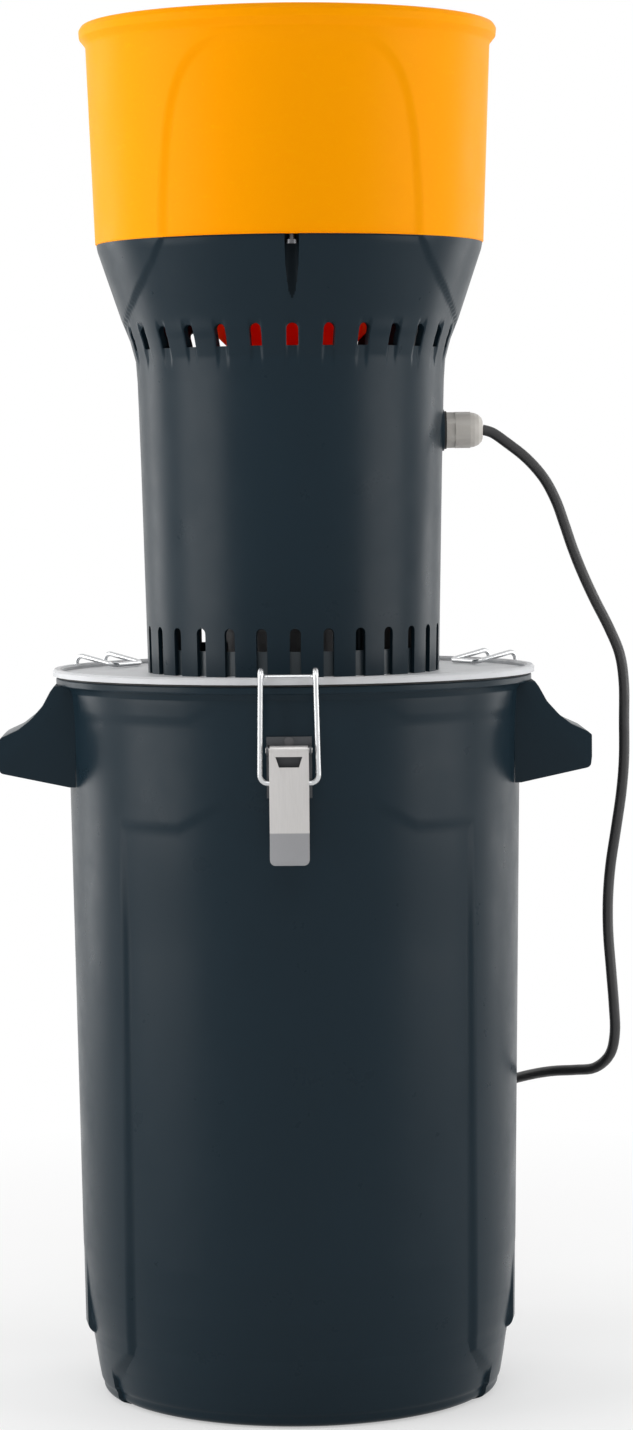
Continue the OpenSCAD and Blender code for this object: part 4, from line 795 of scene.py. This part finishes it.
def make_casing():
    outer = [CASING_OUTER[0], (108.6, 540.2)] + spaced(CASING_OUTER, 2.4)[1:]
    mesh = turned("casing_skin", outer + CASING_INNER, CASING_COLUMNS, casing_skin)
    slope = Matrix.Rotation(radians(POCKET_SLOPE), 4, "Y")
    pockets = [around_z(azimuth) @ moved(*POCKET_AT) @ slope for azimuth in SCREW_AZIMUTHS]
    shell = cut(mesh, slot_cutters(**UPPER_SLOTS) + slot_cutters(**LOWER_SLOTS))
    shell = cut(shell, [prism(disc_outline(POCKET_R, 32), POCKET_L, at) for at in pockets])
    mesh = merged([shell] + casing_pads() + casing_bosses())
    smooth_by_angle(mesh, angle=32)
    piece = link("casing_skin", mesh, NAVY.material, "housing", "casing")
    # Painted shade: faces that line the screw pockets get the darker navy
    mesh.materials.append(POCKET_PAINTED_SHADE.material)
    to_pocket = [(Matrix.Scale(MM, 4) @ at).inverted() for at in pockets]
    for face in mesh.polygons:
        from_pocket = min(hypot(*(at @ face.center).xy) for at in to_pocket)
        if face.center.z > POCKET_FROM_Z and from_pocket < POCKET_WALL_R:
            face.material_index = 1


# Hopper
HOPPER_FOOT = [(143.2, CASING_TOP), (144, 856.9), (149.3, 998)]
RIM = [(149.3, 998), (149.5, 1002), (154.0, 1007.5), (154.5, 1013), (152.5, 1016.2), (150.5, HOPPER_TOP),
       (148.4, 1016.2), (146.4, 1013), (145.6, 1000)]
RIM_FILLETS = [0, 5, 3, 3, 2, 1.4, 2, 4, 0]
FUNNEL = [(145.6, 1000), (141, 879), (38, 776), (18, 776)]
FUNNEL_FILLETS = [0, 12, 10, 0]
FUNNEL_UNDER = [(0.5, 776), (0.5, 773), (39.2, 773), (141, 874.8), (141, CASING_TOP)]
HOPPER_COLUMNS = 720
OUTLET_R = 13
OUTLET_AT = (20, 0, 774.5)
SPINDLE_R = 3.05
SPINDLE_AT = (0, 0, 774.5)
HOPPER_BOSS_R = 5
HOPPER_BOSS_L = 10
HOPPER_BOSS_AT = (137, 0, 861)
ARCH_HALF = [(92.5, 800), (92.5, 858), (92, 885), (90.5, 910), (88.5, 932), (84.5, 954), (78, 972), (69, 984),
             (58, 992), (44, 997), (26, 1000), (8, 1001)]
ARCH = both_sides([tuple(p[:2]) for p in smooth_path([(x, z, 0) for x, z in ARCH_HALF], 4)])
ARCH_DEPTH = 2.0
ARCH_TOP = 1001
# The parts of the hopper inside the casing, in metres
CONE_TOP = 0.875
CONE_R = 0.142
FOOT_FROM_Z = 0.8555


def hopper_skin(a, r, z):
    """The shallow arch at the front and rear, sunk into the wall."""
    wall = np.interp(z, [CASING_TOP, 1001.5], [144, 149.4])
    outside = (np.abs(r - wall) < 0.6) & (z > CASING_TOP + 0.5) & (z < 1000.6)
    recess = ARCH_DEPTH * soft_step(inside_depth(r * np.cos(a), z, ARCH), -3.8, 3.8)
    recess = recess * soft_step(ARCH_TOP - z, 0, 12)
    return np.where(outside, r - recess, r), z


def is_underside(face):
    """Whether a face of the hopper belongs to the outside of its cone or the inside of its foot."""
    x, y, z = face.center
    from_axis = hypot(x, y)
    outwards = (x * face.normal.x + y * face.normal.y) / max(1e-9, from_axis)
    looks_down = face.normal.z < -0.4
    looks_in = outwards < -0.9 and z > FOOT_FROM_Z
    return z < CONE_TOP and from_axis < CONE_R and (looks_down or looks_in)


def make_hopper():
    rim = fillet(RIM, RIM_FILLETS, steps=5)
    funnel = spaced(fillet(FUNNEL, FUNNEL_FILLETS, steps=8), 5)
    outline = spaced(HOPPER_FOOT, 2.2) + rim[1:] + funnel[1:] + FUNNEL_UNDER
    mesh = turned("hopper_skin", outline, HOPPER_COLUMNS, hopper_skin)
    mesh = cut(mesh, [prism(disc_outline(OUTLET_R, 64), 12, moved(*OUTLET_AT)),
                      prism(disc_outline(SPINDLE_R, 32), 12, moved(*SPINDLE_AT))])
    bosses = [prism(disc_outline(HOPPER_BOSS_R, 32), HOPPER_BOSS_L, around_z(azimuth) @ moved(*HOPPER_BOSS_AT))
              for azimuth in SCREW_AZIMUTHS]
    mesh = merged([mesh] + bosses)
    smooth_by_angle(mesh, angle=34)
    piece = link("hopper_skin", mesh, ORANGE.material, "housing", "hopper")
    # The underside faces get the painted red light and shade of the cone
    mesh.materials.append(UNDERSIDE_PAINTED_LIGHT.material)
    for face in mesh.polygons:
        if is_underside(face):
            face.material_index = 1


make_bucket()
make_casing()
make_hopper()


# CAD nodes that stay, and the levers with softer edges
LEVER_EDGE = 0.35
LEVER_ANGLE = 35
SAME_POINT = 2e-6
FLAT_ANGLE = 0.6


def softened(node, look):
    """A copy of a CAD node's mesh with its edges rounded, in the node's place."""
    source = NODES[node]
    mesh = source.data.copy()
    work = bmesh.new()
    work.from_mesh(mesh)
    bmesh.ops.remove_doubles(work, verts=work.verts, dist=SAME_POINT)
    bmesh.ops.dissolve_limit(work, angle_limit=radians(FLAT_ANGLE), verts=work.verts, edges=work.edges)
    work.to_mesh(mesh)
    work.free()
    mesh = rounded(mesh, LEVER_EDGE, angle=LEVER_ANGLE)
    smooth_by_angle(mesh, LEVER_ANGLE)
    link(node + "_soft", mesh, look.material, source["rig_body"], node)


def dressed(look, *nodes):
    """Gives CAD nodes their material and smooth shading; nothing else of them changes."""
    for node in nodes:
        piece = NODES[node]
        piece.data.materials.clear()
        piece.data.materials.append(look.material)
        smooth_by_angle(piece.data, angle=32)


LEVER = lever_steel(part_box("latch_lever_1")[0][2] + TIP_L)
for number in (1, 2, 3):
    softened(f"latch_lever_{number}", LEVER)
    dressed(DULL, f"latch_bracket_{number}")
    dressed(WIRE, f"latch_bail_{number}")
dressed(STEEL, "latch_pins", "feed_gate_disc", "feed_gate_spindle", "feed_gate_clip",
        "blade_upper", "blade_lower", "sieve_screen", "plug_pins")
dressed(BLACKED, "hopper_screws", "latch_rivets")
dressed(ZINC, "casing_screws", "gate_screws", "motor_tie_rods", "motor_bolts", "blade_spacer",
        "blade_nut", "sieve_studs", "wing_nuts", "capacitor_clip")
dressed(TURNED, "bearing_upper", "bearing_lower", "motor_shaft")
dressed(IRON, "motor_stator", "rotor_core")
# The end shields' dark colour is painted shade inside the casing
dressed(ALLOY_PAINTED_SHADE, "motor_shield_upper", "motor_shield_lower")
dressed(COPPER, "motor_windings")
dressed(lid_coat(), "lid_plate")
dressed(COAT, "sieve_cover")
dressed(SEAL, "lid_gasket", "gland_washer")
dressed(BLACK, "grain_chute", "cooling_fan", "switch_body", "feed_gate_knob", "switch_bezel", "plug_body")
dressed(CASE, "capacitor")
dressed(PALE, "terminal_block", "gland_locknut", "gland_nut", "gland_body")
dressed(RED, "switch_rocker")
dressed(CORD, "internal_lead", "plug_relief")
dressed(STRAP, "cord_tie")


# Floor, light and background
FLOOR = [(-12, -8, 0), (12, -8, 0), (12, 16, 0), (-12, 16, 0)]
FLOOR_MIDDLE = (0, 0.1, 0)
# From the mill outwards the floor fades into the white background, in metres from its middle
FADE_FROM, FADE_TO = 0.25, 1.1
GLOW_NEAR, GLOW_FAR = 0.45, 1.0
# Place, aim, width and height in metres, power in watts
LIGHTS = {
    "left_softbox": ((-2.35, -0.75, 0.8), (0, 0, 0.5), 1.7, 2.2, 50),
    "right_softbox": ((2.35, -0.75, 0.8), (0, 0, 0.5), 1.6, 2.2, 36),
    "overhead": ((0, -1.5, 2.6), (0, 0, 0.6), 1.8, 1.6, 20),
    "left_rim": ((-1.9, 1.3, 0.8), (0, 0, 0.5), 0.8, 2.2, 14),
    "right_rim": ((1.9, 1.3, 0.8), (0, 0, 0.5), 0.8, 2.2, 12),
}
# The world's light comes from behind the mill; the side of the camera is near black
WORLD_LIGHT = {"From Min": -0.5, "From Max": 0.8, "To Min": 0.02, "To Max": 1.0}
# Rays that see the plain white background
WHITE_FOR = ("Is Camera Ray", "Is Transmission Ray", "Is Glossy Ray")


def make_floor():
    """A pale floor that glows white away from the mill."""
    mesh = bpy.data.meshes.new("floor")
    mesh.from_pydata(FLOOR, [], [(0, 1, 2, 3)])
    floor = bpy.data.objects.new("floor", mesh)
    bpy.context.scene.collection.objects.link(floor)
    look = Look("pale_floor", (0.9, 0.9, 0.9), 0.8)
    look.layer(look.noise(3, detail=3), 0.4, 0.7, (0.87, 0.87, 0.87))
    ends = {0: look.place, 1: FLOOR_MIDDLE}
    away = look.add("ShaderNodeVectorMath", ends, operation="DISTANCE").outputs["Value"]
    fade = look.ranged(away, FADE_FROM, FADE_TO, GLOW_NEAR, GLOW_FAR)
    path = look.add("ShaderNodeLightPath").outputs
    seen = path[WHITE_FOR[0]]
    for ray in WHITE_FOR[1:]:
        seen = look.maths("MAXIMUM", seen, path[ray])
    glow = look.add("ShaderNodeEmission", {"Color": (1, 1, 1, 1), "Strength": 1.0}).outputs[0]
    mix = look.add("ShaderNodeMixShader", {"Fac": look.maths("MULTIPLY", fade, seen)})
    look.tree.links.new(look.shader.outputs[0], mix.inputs[1])
    look.tree.links.new(glow, mix.inputs[2])
    look.tree.links.new(mix.outputs[0], look.tree.nodes["Material Output"].inputs["Surface"])
    mesh.materials.append(look.material)


def soft_light(name, place, target, width, height, power):
    data = bpy.data.lights.new(name, "AREA")
    data.shape = "RECTANGLE"
    data.size = width
    data.size_y = height
    data.energy = power
    light = bpy.data.objects.new(name, data)
    light.location = place
    light.rotation_euler = (Vector(target) - Vector(place)).to_track_quat("-Z", "Y").to_euler()
    bpy.context.scene.collection.objects.link(light)


def make_world():
    """Light that rises from the camera's side to the far side, and a plain white background."""
    world = bpy.data.worlds.new("studio")
    bpy.context.scene.world = world
    world.use_nodes = True
    tree = world.node_tree
    background = tree.nodes["Background"]
    path = tree.nodes.new("ShaderNodeLightPath").outputs
    place = tree.nodes.new("ShaderNodeTexCoord")
    split = tree.nodes.new("ShaderNodeSeparateXYZ")
    tree.links.new(place.outputs["Generated"], split.inputs[0])
    depth = tree.nodes.new("ShaderNodeMapRange")
    tree.links.new(split.outputs["Y"], depth.inputs["Value"])
    for key, value in WORLD_LIGHT.items():
        depth.inputs[key].default_value = value
    mix = tree.nodes.new("ShaderNodeMix")
    mix.data_type = "RGBA"
    tree.links.new(depth.outputs["Result"], mix.inputs["A"])
    mix.inputs["B"].default_value = (1, 1, 1, 1)
    seen = path[WHITE_FOR[0]]
    for ray in WHITE_FOR[1:]:
        either = tree.nodes.new("ShaderNodeMath")
        either.operation = "MAXIMUM"
        tree.links.new(seen, either.inputs[0])
        tree.links.new(path[ray], either.inputs[1])
        seen = either.outputs[0]
    tree.links.new(seen, mix.inputs["Factor"])
    tree.links.new(mix.outputs["Result"], background.inputs["Color"])
    background.inputs["Strength"].default_value = 1


make_floor()
for light_name, light in LIGHTS.items():
    soft_light(light_name, *light)
make_world()

bpy.context.scene.view_settings.view_transform = "Standard"
